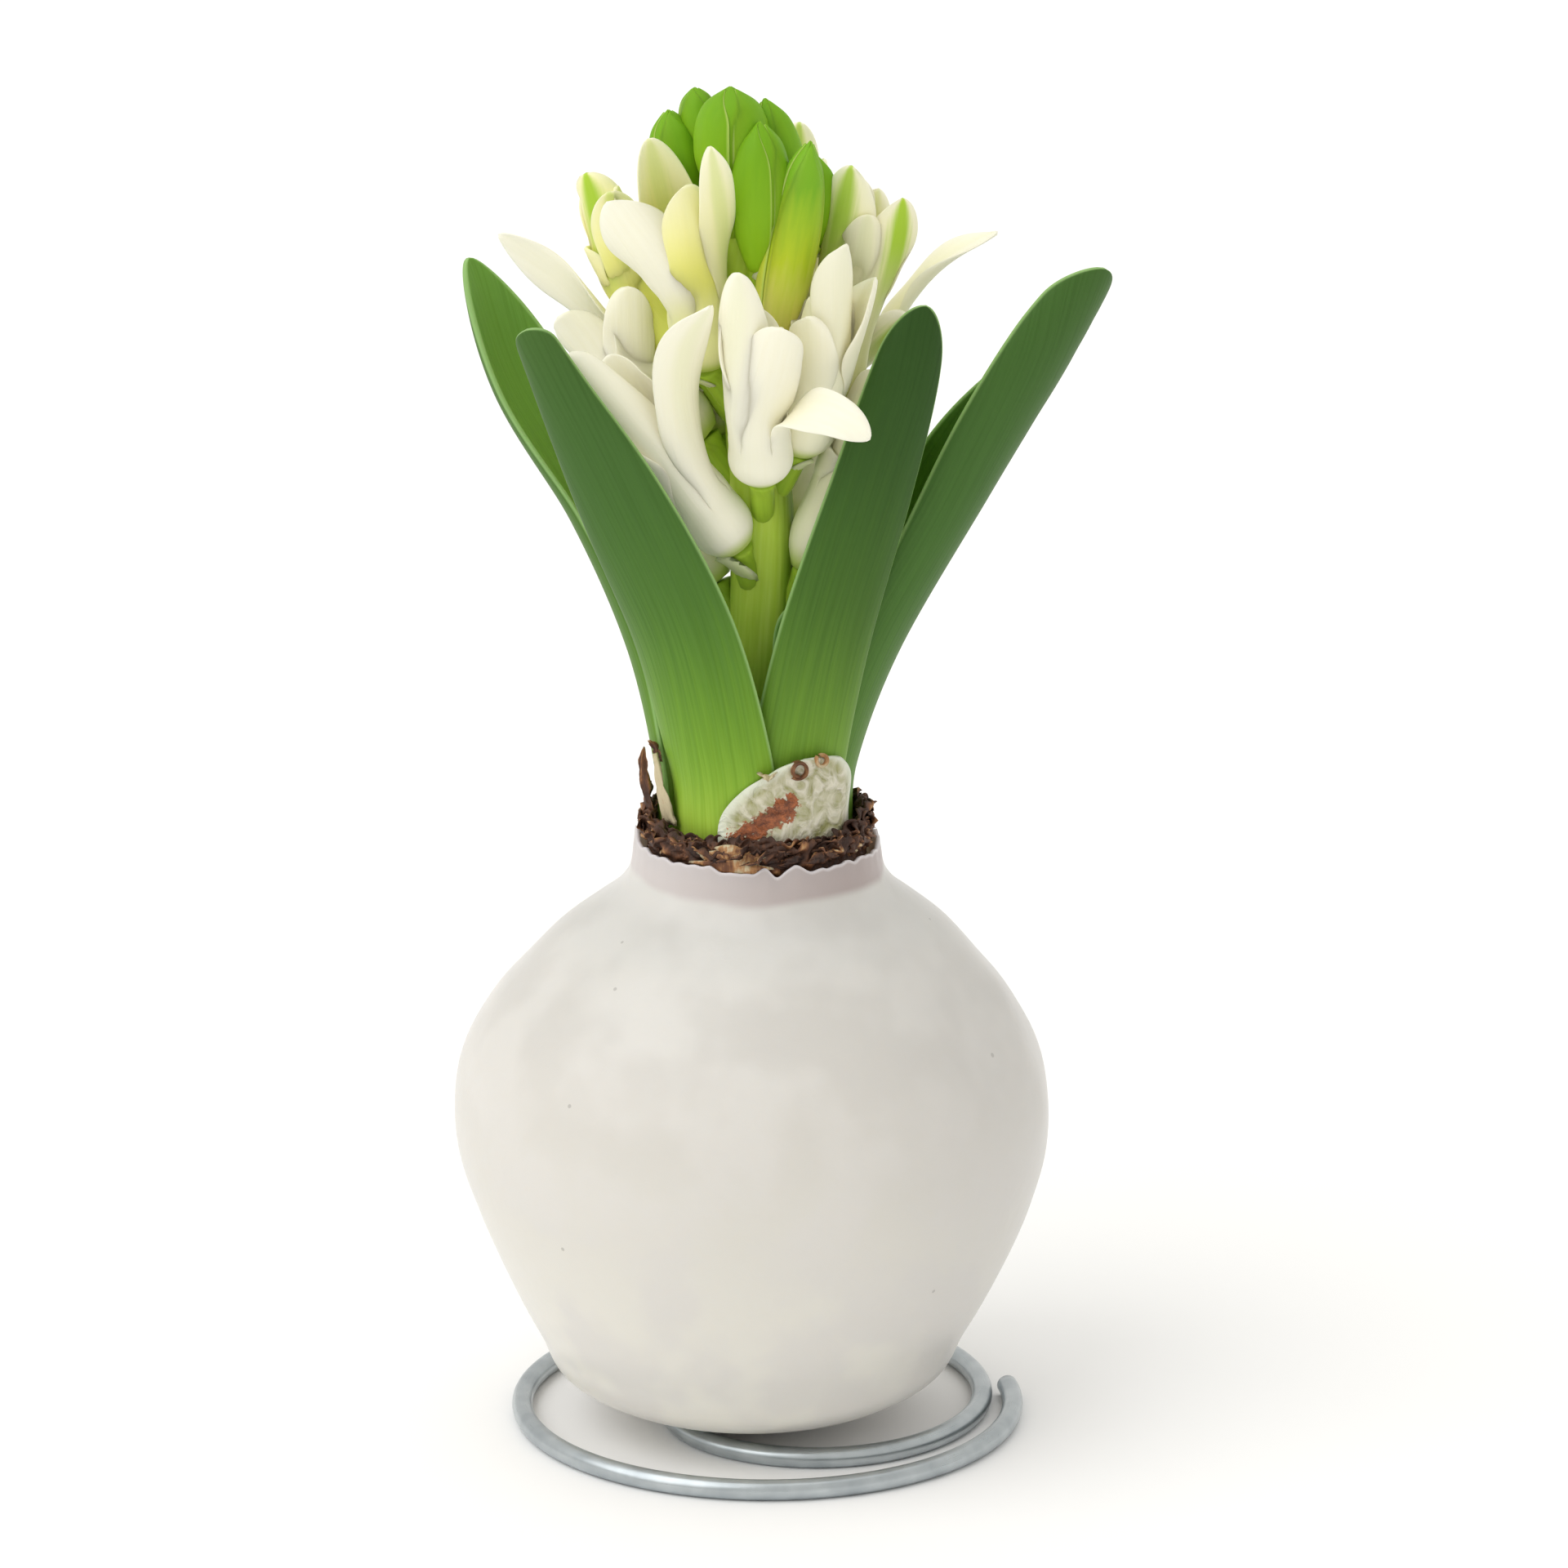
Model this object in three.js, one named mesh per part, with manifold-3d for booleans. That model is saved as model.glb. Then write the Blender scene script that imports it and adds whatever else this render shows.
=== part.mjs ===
// A hyacinth in bloom: a bulb dipped in wax, standing on a flat spiral of wire.
// Millimetres, +Z up, the camera's side is -Y. The wire's spiral is centred on the Z axis
// and lies on z = 0, and the whole plant is centred over its footprint at the end.
import * as THREE from 'three';
import Module from 'manifold-3d';

const wasm = await Module();
wasm.setup();

// Driving dimensions
const GAP = 0.3;
const WIRE_DIAMETER = 2.5;
const SPIRAL_RADIUS = 29.8;
const SPIKE_TOP = 16;
const BULB_CENTRE = [-1.8, 0];
const NECK_CENTRE = [-1.2, 0];
const WAX_THICKNESS = 1.5;
const WAX_BOTTOM = WIRE_DIAMETER + GAP;
const NECK_TOP = 71;
const WAX_RIM_HEIGHT = 73;
const LEAF_THICKNESS = 1.2;
const TEPAL_THICKNESS = 0.9;
const TUBE_RADIUS = 3.3;
const STALK_RADII = [1.8, 1.3, 1.1];
const STALK_DROP = 5;

// Small helpers for places and numbers
const point = (x, y, z) => new THREE.Vector3(x, y, z);
const radians = THREE.MathUtils.degToRad;
const lerp = THREE.MathUtils.lerp;
const smooth = (t) => THREE.MathUtils.smoothstep(t, 0, 1);
const clamp01 = (t) => THREE.MathUtils.clamp(t, 0, 1);
const direction = (azimuth, elevation) => point(
  Math.cos(radians(elevation)) * Math.cos(radians(azimuth)),
  Math.cos(radians(elevation)) * Math.sin(radians(azimuth)),
  Math.sin(radians(elevation)),
);

const X_AXIS = point(1, 0, 0);
const Y_AXIS = point(0, 1, 0);
const UP = point(0, 0, 1);

// The point reached from a start by a step along one direction, or along two
function offset(start, first, firstLength, second = first, secondLength = 0) {
  return start.clone().addScaledVector(first, firstLength).addScaledVector(second, secondLength);
}

// A smooth curve through points, evenly spaced in its parameter
const through = (points) => new THREE.CatmullRomCurve3(points, false, 'catmullrom');

// A number that runs smoothly through the given values as t goes from 0 to 1
function runThrough(values, t) {
  return through(values.map((value) => point(value, 0, 0))).getPoint(t).x;
}

// A closed skin is a list of corners and the triangles between them
class Skin {
  constructor() {
    this.corners = [];
    this.faces = [];
  }

  add(corner) {
    this.corners.push(corner.x, corner.y, corner.z);
    return this.corners.length / 3 - 1;
  }

  addAll(corners) {
    return corners.map((corner) => this.add(corner));
  }

  // A band of faces between two closed rows of equal length
  band(lower, upper) {
    lower.forEach((corner, i) => {
      const j = (i + 1) % lower.length;
      this.faces.push(corner, lower[j], upper[j], corner, upper[j], upper[i]);
    });
  }

  // The same round a thin blade: its front is split along the same lines as its back
  bladeBand(lower, upper) {
    lower.forEach((corner, i) => {
      const j = (i + 1) % lower.length;
      if (i < lower.length / 2) {
        this.faces.push(corner, lower[j], upper[j], corner, upper[j], upper[i]);
      } else {
        this.faces.push(corner, lower[j], upper[i], lower[j], upper[j], upper[i]);
      }
    });
  }

  // A fan from a closed row to one corner above it
  fan(row, tip) {
    row.forEach((corner, i) => this.faces.push(corner, row[(i + 1) % row.length], tip));
  }

  // The cut end of a thin blade, across from its back to its front
  bladeEnd(row) {
    const last = row.length - 1;
    for (let i = 0; i < row.length / 2 - 1; i += 1) {
      this.faces.push(row[i + 1], row[i], row[last - i]);
      if (i > 0) {
        this.faces.push(row[i], row[(last - i + 1) % row.length], row[last - i]);
      }
    }
    this.faces.push(row[row.length / 2], row[row.length / 2 - 1], row[row.length / 2 + 1]);
  }

  geometry() {
    const result = new THREE.BufferGeometry();
    result.setAttribute('position', new THREE.Float32BufferAttribute(this.corners, 3));
    result.setIndex(this.faces);
    return result;
  }
}

// A closed solid through rings of corners, with a fan over each end
function loft(rings) {
  const skin = new Skin();
  const rows = rings.map((ring) => skin.addAll(ring));
  for (let i = 1; i < rows.length; i += 1) {
    skin.band(rows[i - 1], rows[i]);
  }
  const middle = (ring) => ring.reduce((sum, corner) => sum.add(corner), point(0, 0, 0))
    .divideScalar(ring.length);
  skin.fan(rows[0].toReversed(), skin.add(middle(rings[0])));
  skin.fan(rows.at(-1), skin.add(middle(rings.at(-1))));
  return skin.geometry();
}

// A ring of corners about a centre, in the plane of two directions
function ringOfCorners(centre, right, forward, count, radiusAt) {
  return Array.from({ length: count }, (_, i) => {
    const angle = (2 * Math.PI * i) / count;
    const radius = radiusAt(angle);
    return offset(centre, right, radius * Math.cos(angle), forward, radius * Math.sin(angle));
  });
}

// Joining and cutting of closed solids
function toSolid(geometry) {
  return new wasm.Manifold(new wasm.Mesh({
    numProp: 3,
    vertProperties: new Float32Array(geometry.attributes.position.array),
    triVerts: new Uint32Array(geometry.index.array),
  }));
}

function toGeometry(solid) {
  const mesh = solid.getMesh();
  const result = new THREE.BufferGeometry();
  result.setAttribute('position', new THREE.BufferAttribute(mesh.vertProperties, 3));
  result.setIndex(new THREE.BufferAttribute(mesh.triVerts, 1));
  return result;
}

const join = (geometries) => toGeometry(
  geometries.map(toSolid).reduce((whole, piece) => whole.add(piece)),
);

// Finishes
const finish = (color, roughness, metalness = 0) => (
  new THREE.MeshStandardMaterial({ color, roughness, metalness })
);
const zincWire = finish('#b1b7b8', 0.35, 1);
const wax = finish('#e4e0dd', 0.3);
const bulbFlesh = finish('#d8cfae', 0.6);
const dryTunic = finish('#5a3720', 0.8);
const paleScale = finish('#b9ae86', 0.6);
const leafGreen = finish('#456929', 0.45);
const stemGreen = finish('#8fae3c', 0.45);
const petalWhite = finish('#f1edd6', 0.5);

const plant = new THREE.Group();

function addPiece(name, geometry, material) {
  const mesh = new THREE.Mesh(geometry, material);
  mesh.name = name;
  plant.add(mesh);
}

// Wire stand
// One wire: a wide outer turn, then turns that close in under the bulb, then a spike turned up
// into the bulb's base. The swept angle runs clockwise from the cut end at the right.
// The radii are given every 60 degrees of sweep.
const CUT_END_ANGLE = 11;
const SPIRAL_STEP = 60;
const SPIRAL_RADII = [
  ...Array(5).fill(SPIRAL_RADIUS), 29.2, 26.6, 22.4, 16.4, 11.8, 9.2, 7.8, 6.4, 5.4,
];
const SPIRAL_SWEEP = SPIRAL_STEP * (SPIRAL_RADII.length - 1);
const SPIRAL_POINT_STEP = 15;
const WIRE_LEVEL = WIRE_DIAMETER / 2;
const WIRE_SIDES = 8;
const WIRE_STEPS = 100;
const SPIKE_BEND = 3;

function spiralPoint(swept) {
  const radius = runThrough(SPIRAL_RADII, swept / SPIRAL_SWEEP);
  return direction(CUT_END_ANGLE - swept, 0).multiplyScalar(radius).setZ(WIRE_LEVEL);
}

const SPIRAL_END = spiralPoint(SPIRAL_SWEEP);
const SPIKE_HEADING = direction(CUT_END_ANGLE - SPIRAL_SWEEP - 90, 0);
const SPIKE_PLACE = offset(SPIRAL_END, SPIKE_HEADING, SPIKE_BEND).setZ(0);

function wireGeometry() {
  const turns = Array.from({ length: SPIRAL_SWEEP / SPIRAL_POINT_STEP }, (_, i) => (
    spiralPoint(SPIRAL_POINT_STEP * i)
  ));
  const bend = [0, 30, 60, 90].map((angle) => offset(
    SPIRAL_END,
    SPIKE_HEADING,
    SPIKE_BEND * Math.sin(radians(angle)),
    UP,
    SPIKE_BEND * (1 - Math.cos(radians(angle))),
  ));
  const spike = [0.6, 1].map((share) => SPIKE_PLACE.clone().setZ(SPIKE_TOP * share));
  const path = new THREE.CatmullRomCurve3([...turns, ...bend, ...spike], false, 'centripetal');
  const corner = WIRE_LEVEL / Math.cos(Math.PI / WIRE_SIDES);
  const section = new THREE.Shape(Array.from({ length: WIRE_SIDES }, (_, i) => {
    const angle = ((2 * i + 1) * Math.PI) / WIRE_SIDES;
    return new THREE.Vector2(corner * Math.cos(angle), corner * Math.sin(angle));
  }));
  return new THREE.ExtrudeGeometry(section, {
    steps: WIRE_STEPS,
    extrudePath: path,
    bevelEnabled: false,
  });
}

// Bulb and wax coat
// The wax follows the bulb: a rounded base, the widest turn at mid height, then a shoulder
// that draws in to the neck. Heights above the floor and radii, both for the wax's outside.
const WAX_PROFILE = [
  [2.8, 11.5], [3.2, 15.2], [4.4, 19.2], [7.2, 23.6], [11.3, 25.6], [15.5, 27.8], [19.7, 29.8],
  [23.9, 31.6], [28.1, 33.1], [34.3, 34.7], [40.6, 34.9], [46.8, 33.8], [52.9, 30.6], [57.1, 27.2],
  [61.2, 23.6], [64.2, 20], [66.6, 17], [69, 15.3], [71.4, 14.8],
];
const WAX_RIM_RADIUS = 14.6;
const WAX_RIM_THICKNESS = 0.7;
const WAX_FLOOR_RADIUS = 15.5;
const WAX_SIDES = 30;

const profileRadius = (height) => {
  const above = WAX_PROFILE.findIndex(([z]) => z > height);
  const [z1, r1] = WAX_PROFILE[above];
  const [z0, r0] = WAX_PROFILE[above - 1];
  return lerp(r0, r1, (height - z0) / (z1 - z0));
};

// Dipped wax is not quite round: it swells slowly round the belly
const waxSwell = (angle, height) => {
  const belly = smooth((height - WAX_BOTTOM) / 12) * smooth((NECK_TOP - height) / 12);
  return 1 + belly * (0.012 * Math.cos(2 * angle - 0.6) + 0.01 * Math.sin(3 * angle + height / 14));
};

const waxRimHeight = (angle) => (
  WAX_RIM_HEIGHT + 0.8 * Math.cos(angle - 2.6)
  + 0.35 * Math.sin(5 * angle) + 0.25 * Math.sin(9 * angle + 1)
);

const bodyCentre = (height) => {
  const t = smooth((height - 50) / 20);
  return point(lerp(BULB_CENTRE[0], NECK_CENTRE[0], t), 0, height);
};

function bodyRing(height, radius, inset, sides = WAX_SIDES) {
  return ringOfCorners(bodyCentre(height), X_AXIS, Y_AXIS, sides, (angle) => (
    radius * waxSwell(angle, height) - inset
  ));
}

function rimRing(radius, drop) {
  const ring = bodyRing(WAX_RIM_HEIGHT, radius, 0);
  ring.forEach((corner, i) => corner.setZ(waxRimHeight((2 * Math.PI * i) / WAX_SIDES) - drop));
  return ring;
}

const WAX_HOLE_RADIUS = 3.2;
const SPIKE_HOLE_RADIUS = 2;
const INNER_LEVELS = [6.5, 11.3, 19.7, 28.1, 34.3, 40.6, 46.8, 52.9, 57.1, 61.2, 64.2, 66.6, 69];
const NECK_WALL = 1;

const wallAt = (height) => lerp(WAX_THICKNESS, NECK_WALL, smooth((height - 55) / 14));

function holeRing(height, radius, sides = WAX_SIDES) {
  return ringOfCorners(SPIKE_PLACE.clone().setZ(height), X_AXIS, Y_AXIS, sides, () => radius);
}

function waxGeometry() {
  const skin = new Skin();
  const floorLevel = WAX_BOTTOM + WAX_THICKNESS;
  const rings = [
    holeRing(WAX_BOTTOM, WAX_HOLE_RADIUS),
    ...WAX_PROFILE.map(([z, radius]) => bodyRing(z, radius, 0)),
    rimRing(WAX_RIM_RADIUS, 0),
    rimRing(WAX_RIM_RADIUS - WAX_RIM_THICKNESS, 0.1),
    ...INNER_LEVELS.toReversed().map((z) => bodyRing(z, profileRadius(z), wallAt(z))),
    bodyRing(floorLevel, WAX_FLOOR_RADIUS, 0),
    holeRing(floorLevel, WAX_HOLE_RADIUS),
  ];
  const rows = rings.map((ring) => skin.addAll(ring));
  rows.forEach((row, i) => skin.band(row, rows[(i + 1) % rows.length]));
  return skin.geometry();
}

// The bulb fills the wax, with a blind hole for the spike, and ends in a flat neck
const NECK_RADIUS = 13.2;
const NECK_START = 68.6;
const BULB_FOOT_RADIUS = 14.6;
const BULB_SIDES = 20;
const BULB_CLEARANCE = 0.6;

function bulbGeometry() {
  const skin = new Skin();
  const foot = WAX_BOTTOM + WAX_THICKNESS + GAP;
  const flesh = (z) => bodyRing(z, profileRadius(z), wallAt(z) + BULB_CLEARANCE, BULB_SIDES);
  const rings = [
    holeRing(SPIKE_TOP + GAP, SPIKE_HOLE_RADIUS, BULB_SIDES),
    holeRing(foot, SPIKE_HOLE_RADIUS, BULB_SIDES),
    bodyRing(foot, BULB_FOOT_RADIUS, 0, BULB_SIDES),
    ...INNER_LEVELS.filter((z) => z < NECK_START).map(flesh),
    bodyRing(NECK_START, NECK_RADIUS, 0, BULB_SIDES),
    bodyRing(NECK_TOP, NECK_RADIUS, 0, BULB_SIDES),
  ];
  const rows = rings.map((ring) => skin.addAll(ring));
  for (let i = 1; i < rows.length; i += 1) {
    skin.band(rows[i - 1], rows[i]);
  }
  skin.fan(rows[0].toReversed(), skin.add(SPIKE_PLACE.clone().setZ(SPIKE_TOP + GAP)));
  skin.fan(rows.at(-1), skin.add(bodyCentre(NECK_TOP)));
  return skin.geometry();
}

// Tunic: a ragged paper collar that stands on the bulb's neck and flares over the wax rim
const COLLAR_TOP = 76;
const COLLAR_WAIST = 74.1;
const COLLAR_FOOT_RADII = [12.4, 13.1];
const COLLAR_WAIST_RADII = [12.6, 13.4];
const COLLAR_TOP_RADII = [13.4, 14.2];
const COLLAR_SIDES = 36;
const collarTorn = (angle) => Math.max(-1.1, (
  1.3 * Math.sin(4 * angle + 1.2) + 1.1 * Math.sin(7 * angle) + 0.9 * Math.sin(13 * angle + 2)
  + 2.2 * Math.max(0, Math.cos(angle - 3.05)) ** 6
));

function tunicGeometry() {
  const skin = new Skin();
  const centre = bodyCentre(NECK_TOP);
  const ring = (radius, heightAt) => {
    const corners = ringOfCorners(centre, X_AXIS, Y_AXIS, COLLAR_SIDES, () => radius);
    corners.forEach((corner, i) => corner.setZ(heightAt((2 * Math.PI * i) / COLLAR_SIDES)));
    return corners;
  };
  const foot = () => NECK_TOP + GAP;
  const waist = () => COLLAR_WAIST;
  const rings = [
    ring(COLLAR_FOOT_RADII[0], foot),
    ring(COLLAR_FOOT_RADII[1], foot),
    ring(COLLAR_WAIST_RADII[1], waist),
    ring(COLLAR_TOP_RADII[1], (angle) => COLLAR_TOP + collarTorn(angle)),
    ring(COLLAR_TOP_RADII[0], (angle) => COLLAR_TOP + 0.3 + collarTorn(angle)),
    ring(COLLAR_WAIST_RADII[0], waist),
  ];
  const rows = rings.map((corners) => skin.addAll(corners));
  rows.forEach((row, i) => skin.band(row, rows[(i + 1) % rows.length]));
  return skin.geometry();
}

// A strap: a thin blade along stations, each a row of
// x, y, z, the way its back faces, half width on each side, radius of its channel.
// Half widths are measured round the channel. The tip is rounded over its last share.
function strapGeometry(stations, thickness, tipShare, rowCount) {
  const path = through(stations.map(([x, y, z]) => point(x, y, z)));
  const form = through(stations.map(([, , , , left, right, channel]) => point(left, right, channel)));
  const facings = stations.map((station) => station[3]);
  const columns = [-1, -0.5, 0, 0.5, 1];
  const skin = new Skin();
  let row = null;
  for (let i = 0; i < rowCount; i += 1) {
    const u = i / (rowCount - 0.85);
    const centre = path.getPoint(u);
    const along = path.getTangent(u);
    const facing = direction(runThrough(facings, u), 0);
    const back = facing.addScaledVector(along, -facing.dot(along)).normalize();
    const side = along.clone().cross(back);
    const shape = form.getPoint(u);
    const rounding = Math.sqrt(1 - clamp01((u - 1 + tipShare) / tipShare) ** 2.4);
    const surface = (v, lift) => {
      const angle = (v * rounding * (v < 0 ? shape.x : shape.y)) / shape.z;
      const outward = offset(point(0, 0, 0), side, Math.sin(angle), back, Math.cos(angle));
      const onChannel = offset(centre, outward, shape.z, back, -shape.z);
      return onChannel.addScaledVector(outward, lift * (1 - Math.abs(v) ** 3));
    };
    const outer = columns.map((v) => surface(v, thickness / 2));
    const inner = columns.slice(1, -1).map((v) => surface(v, -thickness / 2));
    const next = skin.addAll([...outer, ...inner.toReversed()]);
    if (row) {
      skin.bladeBand(row, next);
    } else {
      skin.bladeEnd(next);
    }
    row = next;
  }
  skin.fan(row, skin.add(path.getPoint(1)));
  return skin.geometry();
}

const LEAF_ROWS = 14;

const LEAVES = {
  leaf_front_left: {
    tip: 0.06,
    stations: [
      [-6.6, -9.1, 71.4, -125, 9.6, 8, 9],
      [-6.7, -9.2, 77.3, -125, 10, 8.4, 9],
      [-7.4, -10.5, 85.6, -122, 10, 8.3, 9.5],
      [-10.6, -12, 101, -118, 8.5, 7.3, 11],
      [-17.5, -13.5, 117.2, -112, 6.3, 6, 9],
      [-24.1, -14.5, 131.1, -110, 4.2, 3.6, 4.4],
      [-27.7, -15, 138.6, -112, 2.9, 2.4, 2.4],
    ],
  },
  leaf_front_right: {
    tip: 0.13,
    stations: [
      [4.4, -8.6, 71.4, -62, 6.2, 7, 8.6],
      [4.4, -8.7, 77.1, -62, 6.5, 7.3, 9],
      [4.4, -9.3, 85.3, -66, 6.5, 7.3, 9.5],
      [7.2, -9.5, 100.3, -68, 6, 6.8, 11],
      [12.5, -9, 117.9, -74, 5.3, 5.6, 9],
      [16.5, -8.5, 130.6, -78, 4.9, 4, 7],
      [18.5, -8, 139.8, -84, 3.3, 2.6, 4],
    ],
  },
  leaf_back_left: {
    tip: 0.13,
    stations: [
      [-11.7, 3, 71.4, 160, 12, 7, 9],
      [-11.9, 3, 74, 160, 12, 7, 9],
      [-12.3, 3, 81.7, 160, 10.5, 7, 9],
      [-15.7, 5, 96.3, 158, 10, 7.6, 8],
      [-22.1, 7, 111.8, 152, 9.5, 7.6, 7],
      [-30.9, 9, 126.8, 148, 8, 6, 6.5],
      [-35.4, 11, 141.1, 140, 3.5, 2.8, 4],
    ],
  },
  leaf_back_right: {
    tip: 0.08,
    stations: [
      [9.4, 2, 71.4, -4, 6.6, 8.8, 9],
      [9.6, 2, 74, -4, 6.8, 9.2, 9],
      [10.2, 2, 82, -4, 7.4, 10.5, 9],
      [15.4, 2.5, 96, -4, 9.5, 11.5, 8],
      [26, 3.5, 114.7, -5, 11, 13.5, 7.2],
      [34.7, 5, 129.7, -18, 9.5, 10.5, 7],
      [39.7, 6, 141, -45, 4.2, 4.2, 5],
    ],
  },
  leaf_inner: {
    tip: 0.16,
    stations: [
      [3.4, -5.6, 71.4, -70, 3.6, 3.5, 6],
      [3.4, -5.8, 77.2, -70, 3.6, 3.5, 6],
      [3.4, -6.2, 84.4, -70, 3.6, 3.5, 6],
      [3.4, -6.4, 91.4, -72, 3.3, 3.2, 6],
      [3.3, -6.4, 97.4, -78, 2.7, 2.7, 6],
      [2.5, -6.2, 102.8, -84, 1.9, 1.9, 5],
    ],
  },
};

// Neck scale: the stub of a fleshy scale, wrapped round the leaves at the front right
const SCALE_THICKNESS = 0.7;
const SCALE_TIP = 0.12;
const SCALE_ROWS = 6;
const NECK_SCALE = [
  [3.76, -10.62, 71.4, -63, 9.2, 9, 11.7],
  [3.85, -10.8, 75, -63, 9.9, 9.4, 11.9],
  [3.9, -10.89, 78.6, -63, 9.6, 9.2, 12],
  [4.04, -11.16, 81.8, -63, 7.4, 8.4, 12.3],
  [4.2, -11.47, 84.2, -63, 4.2, 6.8, 12.65],
  [4.3, -11.65, 85.9, -63, 2, 5, 12.85],
];

// Scape: the flower stem, which leans a little to the left and tapers
const SCAPE_FOOT = NECK_TOP + GAP;
const SCAPE_TOP = 159;
const SCAPE_AXIS = through([
  point(-1.1, 0, SCAPE_FOOT), point(-1, 0, 93), point(-0.4, 0, 115), point(-1.4, 0, 131),
  point(-2.6, 0, 145), point(-3.6, 0, SCAPE_TOP),
]);
const SCAPE_RADII = [4.2, 4, 3.9, 3.5, 2.8, 1.6];
const scapePlace = (height) => SCAPE_AXIS.getPoint((height - SCAPE_FOOT) / (SCAPE_TOP - SCAPE_FOOT));

// The axis is sampled by height, so its points keep to the asked level
const scapeAt = (height) => scapePlace(height).setZ(height);
const scapeRadius = (height) => (
  runThrough(SCAPE_RADII, (height - SCAPE_FOOT) / (SCAPE_TOP - SCAPE_FOOT))
);

function scapeGeometry() {
  const levels = [SCAPE_FOOT, 80, 92, 104, 112, 120, 128, 136, 143, 149, 154, SCAPE_TOP];
  return loft(levels.map((height) => (
    ringOfCorners(scapeAt(height), X_AXIS, Y_AXIS, 10, () => scapeRadius(height))
  )));
}

// A flower sits at the end of a stalk: its height up the scape, the side it leaves by,
// how far out its base is, and the way its axis points (azimuth and elevation).
function flowerFrame({ height, side, reach, azimuth, elevation }) {
  const axis = direction(azimuth, elevation);
  const up = offset(UP, axis, -axis.z).normalize();
  const across = axis.clone().cross(up);
  const out = direction(side, 0);
  return { base: offset(scapeAt(height), out, reach), axis, up, across, out, height };
}

// Stalk: from inside the scape out and up to the flower's base
function stalkGeometry({ base, axis, out, height }) {
  const foot = height - STALK_DROP;
  const root = offset(scapeAt(foot), out, scapeRadius(foot) * 0.5);
  const end = offset(base, axis, -GAP);
  const path = through([root, offset(root.clone().lerp(end, 0.45), out, 0.6), end]);
  return loft(STALK_RADII.map((radius, i) => {
    const t = i / (STALK_RADII.length - 1);
    const along = t === 1 ? axis.clone() : path.getTangent(t);
    const right = along.clone().cross(Y_AXIS.clone().applyAxisAngle(X_AXIS, 0.4)).normalize();
    return ringOfCorners(path.getPoint(t), right, along.clone().cross(right), 6, () => radius);
  }));
}

// Bud: six ribs that close to a blunt point
const BUD_LEVELS = [[0, 0.34], [0.12, 0.62], [0.35, 0.96], [0.6, 1], [0.82, 0.74], [0.96, 0.3]];

function budGeometry(frame, length, radius) {
  const foot = offset(frame.base, frame.axis, -0.8);
  return loft(BUD_LEVELS.map(([t, share]) => (
    ringOfCorners(offset(foot, frame.axis, length * t), frame.up, frame.across, 9, (angle) => (
      radius * share * (1 + 0.07 * Math.cos(3 * angle))
    ))
  )));
}

// Tepal: its centre line starts at the tube's mouth. It leans out by its open angle, bends on
// by its curl, sways sideways, and turns about itself by its twist, all in degrees.
const TEPAL_STEPS = 48;
const TUBE_ARC = Math.PI / 6;

function tepalCourse(mouth, axis, outward, tangent, tepal) {
  const course = [];
  const place = offset(mouth, outward, TUBE_RADIUS);
  const step = tepal.length / TEPAL_STEPS;
  for (let i = 0; i <= TEPAL_STEPS; i += 1) {
    const t = i / TEPAL_STEPS;
    const lean = radians(tepal.open * smooth(t / 0.45) + tepal.curl * smooth((t - 0.35) / 0.65));
    const sway = radians(tepal.side * smooth(t / 0.4));
    const turn = radians(tepal.twist * smooth(t));
    const along = offset(point(0, 0, 0), axis, Math.cos(lean), outward, Math.sin(lean))
      .multiplyScalar(Math.cos(sway)).addScaledVector(tangent, Math.sin(sway));
    const flat = offset(tangent, along, -tangent.dot(along)).normalize();
    const side = flat.applyAxisAngle(along, turn);
    course.push({ t, place: place.clone(), side, back: side.clone().cross(along) });
    place.addScaledVector(along, step);
  }
  return course;
}

// A row of four corners across a tepal: left edge, back, right edge, front
function tepalRow({ t, place, side, back }, tepal, room) {
  const root = TUBE_RADIUS * TUBE_ARC;
  const rounding = Math.sqrt(1 - clamp01((t - 0.5) / 0.5) ** 2.3);
  const wanted = lerp(root, tepal.width / 2, smooth(t / 0.4)) * rounding;
  const half = Math.min(wanted, room(place) * 0.9 * TUBE_ARC);
  const arc = lerp(TUBE_ARC, 0.45, smooth(t / 0.3));
  const reach = (half / arc) * Math.sin(arc);
  const dip = (half / arc) * (1 - Math.cos(arc));
  const lift = (TEPAL_THICKNESS / 2) * Math.min(1, 0.4 + rounding);
  return [
    offset(place, side, -reach, back, -dip),
    offset(place, back, lift),
    offset(place, side, reach, back, -dip),
    offset(place, back, -lift),
  ];
}

const TEPAL_ROWS = [0.16, 0.34, 0.52, 0.7, 0.86, 0.96];
const TUBE_LEVELS = [[0, 0.42], [0.14, 0.74], [0.42, 1], [0.75, 0.98]];

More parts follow.
